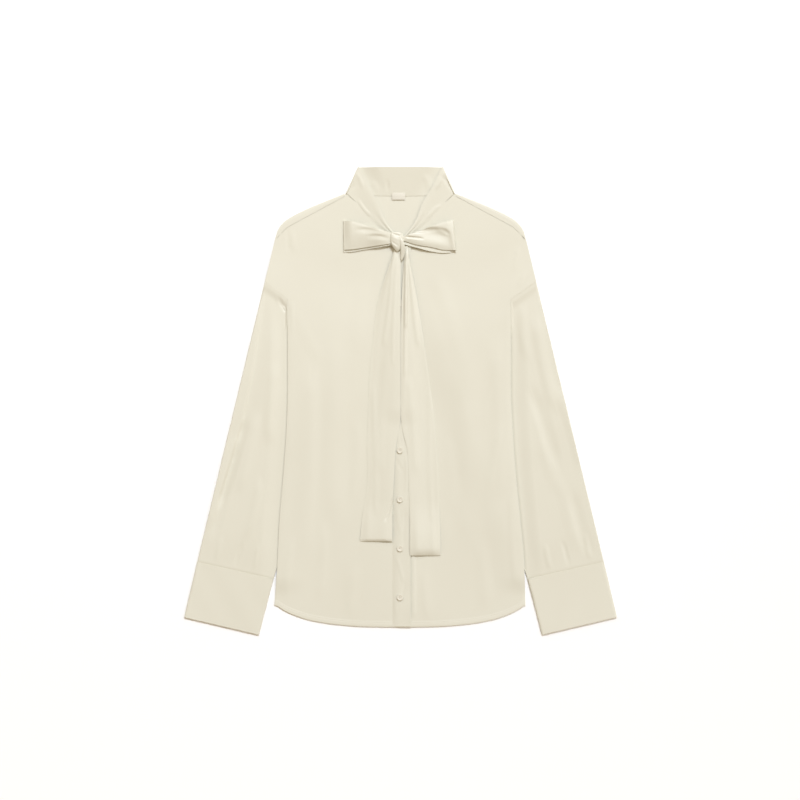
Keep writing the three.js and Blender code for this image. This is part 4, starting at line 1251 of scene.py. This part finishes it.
def seam_stitches():
    """Rows of stitches along the hem, both edges of the cuffs, and the placket below the tie ends."""
    places = []
    for side in (-1, 1):
        edge = BODY_EDGE[side_name(side)][0]
        start = -PLACKET_FROM + 1 if side < 0 else PLACKET_TO + 1
        line = []
        for x in steps(start, edge - 4, 90):
            y = hem_y(x, HEM_CORNER) + HEM - 1
            line.append((x * side, y, front_height(x, y, side) + CLOTH / 2))
        places += stitch_path(line)
        for along in (0.035, 0.95):
            line = []
            for part in steps(0.03, 0.97, 60):
                end = Vector(CUFF_END["outer"]).lerp(Vector(CUFF_END["inner"]), part)
                at = sleeve_plan(1, part, side).lerp(end, along)
                line.append((at.x * side, at.y, cuff_top(at.x, at.y, along, side)))
            places += stitch_path(line)
    low = hem_y(0, HEM_CORNER)
    for x in (PLACKET_FROM + 2.5, PLACKET_TO - 4.5):
        line = [(x, y, placket_height(x, y) + PLACKET_SHELL / 2) for y in steps(low + 6, -150, 160)]
        places += stitch_path(line)
    y = low + HEM - 1
    line = [(x, y, placket_height(x, y) + PLACKET_SHELL / 2) for x in steps(PLACKET_FROM, PLACKET_TO, 12)]
    places += stitch_path(line)
    stitches("seam_stitches", places, *SEAM_STITCH)


def button_thread():
    """Two stitches in the dish of each button, from hole to hole."""
    face = PLACKET_TOP + SEAM + BUTTON_THICKNESS - 0.4
    places = []
    for number in range(BUTTONS):
        y = BUTTON_TOP - number * BUTTON_PITCH
        for dy in (-HOLE, HOLE):
            places.append((Vector((BUTTON_X, y + dy, face)), Vector((1, 0, 0))))
    stitches("button_thread", places, *BUTTON_STITCH)


def neck_label():
    """A bare tag in the place and size that the frame gives it."""
    low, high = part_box("neck_label")
    size = [b - a for a, b in zip(low, high)]
    middle = [(a + b) / 2 for a, b in zip(low, high)]
    bpy.ops.mesh.primitive_cube_add(size=1, location=middle, scale=size)
    tag = bpy.context.active_object
    tag.name = "neck_label_tape"
    bpy.ops.object.transform_apply(location=True, rotation=True, scale=True)
    round_edges(tag, LABEL_EDGE, 3)
    dress(tag, "neck_label", TAPE)


def camera_and_light():
    """A long lens straight above that takes in 1.328 m, and cool light from the top over warm fill."""
    lens, sensor, width = 100, 36, 1.328
    distance = lens / sensor * width
    bpy.ops.object.camera_add(location=(-0.0008, 0.0012, distance), rotation=(0, 0, 0))
    camera = bpy.context.active_object
    camera.data.lens = lens
    camera.data.sensor_width = sensor
    camera.data.clip_end = 50
    bpy.context.scene.camera = camera
    suns = (
        ("window", (0.26, 1.0, 1.25), 12, 2.2, "E2EEFF"),
        ("side", (1.0, 0.25, 1.0), 30, 0.6, "FFFFFF"),
    )
    for name, direction, spread, power, tint in suns:
        bpy.ops.object.light_add(type="SUN", location=Vector(direction) * 2)
        lamp = bpy.context.active_object
        lamp.name = name
        lamp.data.angle = math.radians(spread)
        lamp.data.energy = power
        lamp.data.color = linear(tint)[:3]
        lamp.rotation_euler = Vector(direction).to_track_quat("Z", "Y").to_euler()
    place = Vector((-0.15, 1.22, 1.05))
    bpy.ops.object.light_add(type="AREA", location=place)
    lamp = bpy.context.active_object
    lamp.name = "soft_panel"
    lamp.data.size = 1.0
    lamp.data.energy = 5.2
    lamp.rotation_euler = (place - Vector((0, 0.1, 0))).to_track_quat("Z", "Y").to_euler()
    world = bpy.data.worlds.new("studio")
    bpy.context.scene.world = world
    world.use_nodes = True
    back = world.node_tree.nodes["Background"]
    back.inputs["Color"].default_value = linear("FFE9C9")
    back.inputs["Strength"].default_value = 0.5
    bpy.context.scene.view_settings.view_transform = "Standard"


camera_and_light()
floor()

cloths = {"back": back_panel(), "placket": placket(), "collar": collar(), "bow_knot": bow_knot()}
for side in (1, -1):
    cloths["front_" + side_name(side)] = front_panel(side)
    cloths["sleeve_" + side_name(side)] = sleeve(side)
    cloths["cuff_" + side_name(side)] = cuff(side)
    cloths["bow_loop_" + side_name(side)] = bow_loop(side)
    cloths["tie_tail_" + side_name(side)] = tie_tail(side)

button_row()
neck_label()
seam_stitches()
button_thread()
turned_end = dress(knot_end(), None, SATIN)

for node, piece in cloths.items():
    dress(piece, node, SATIN)
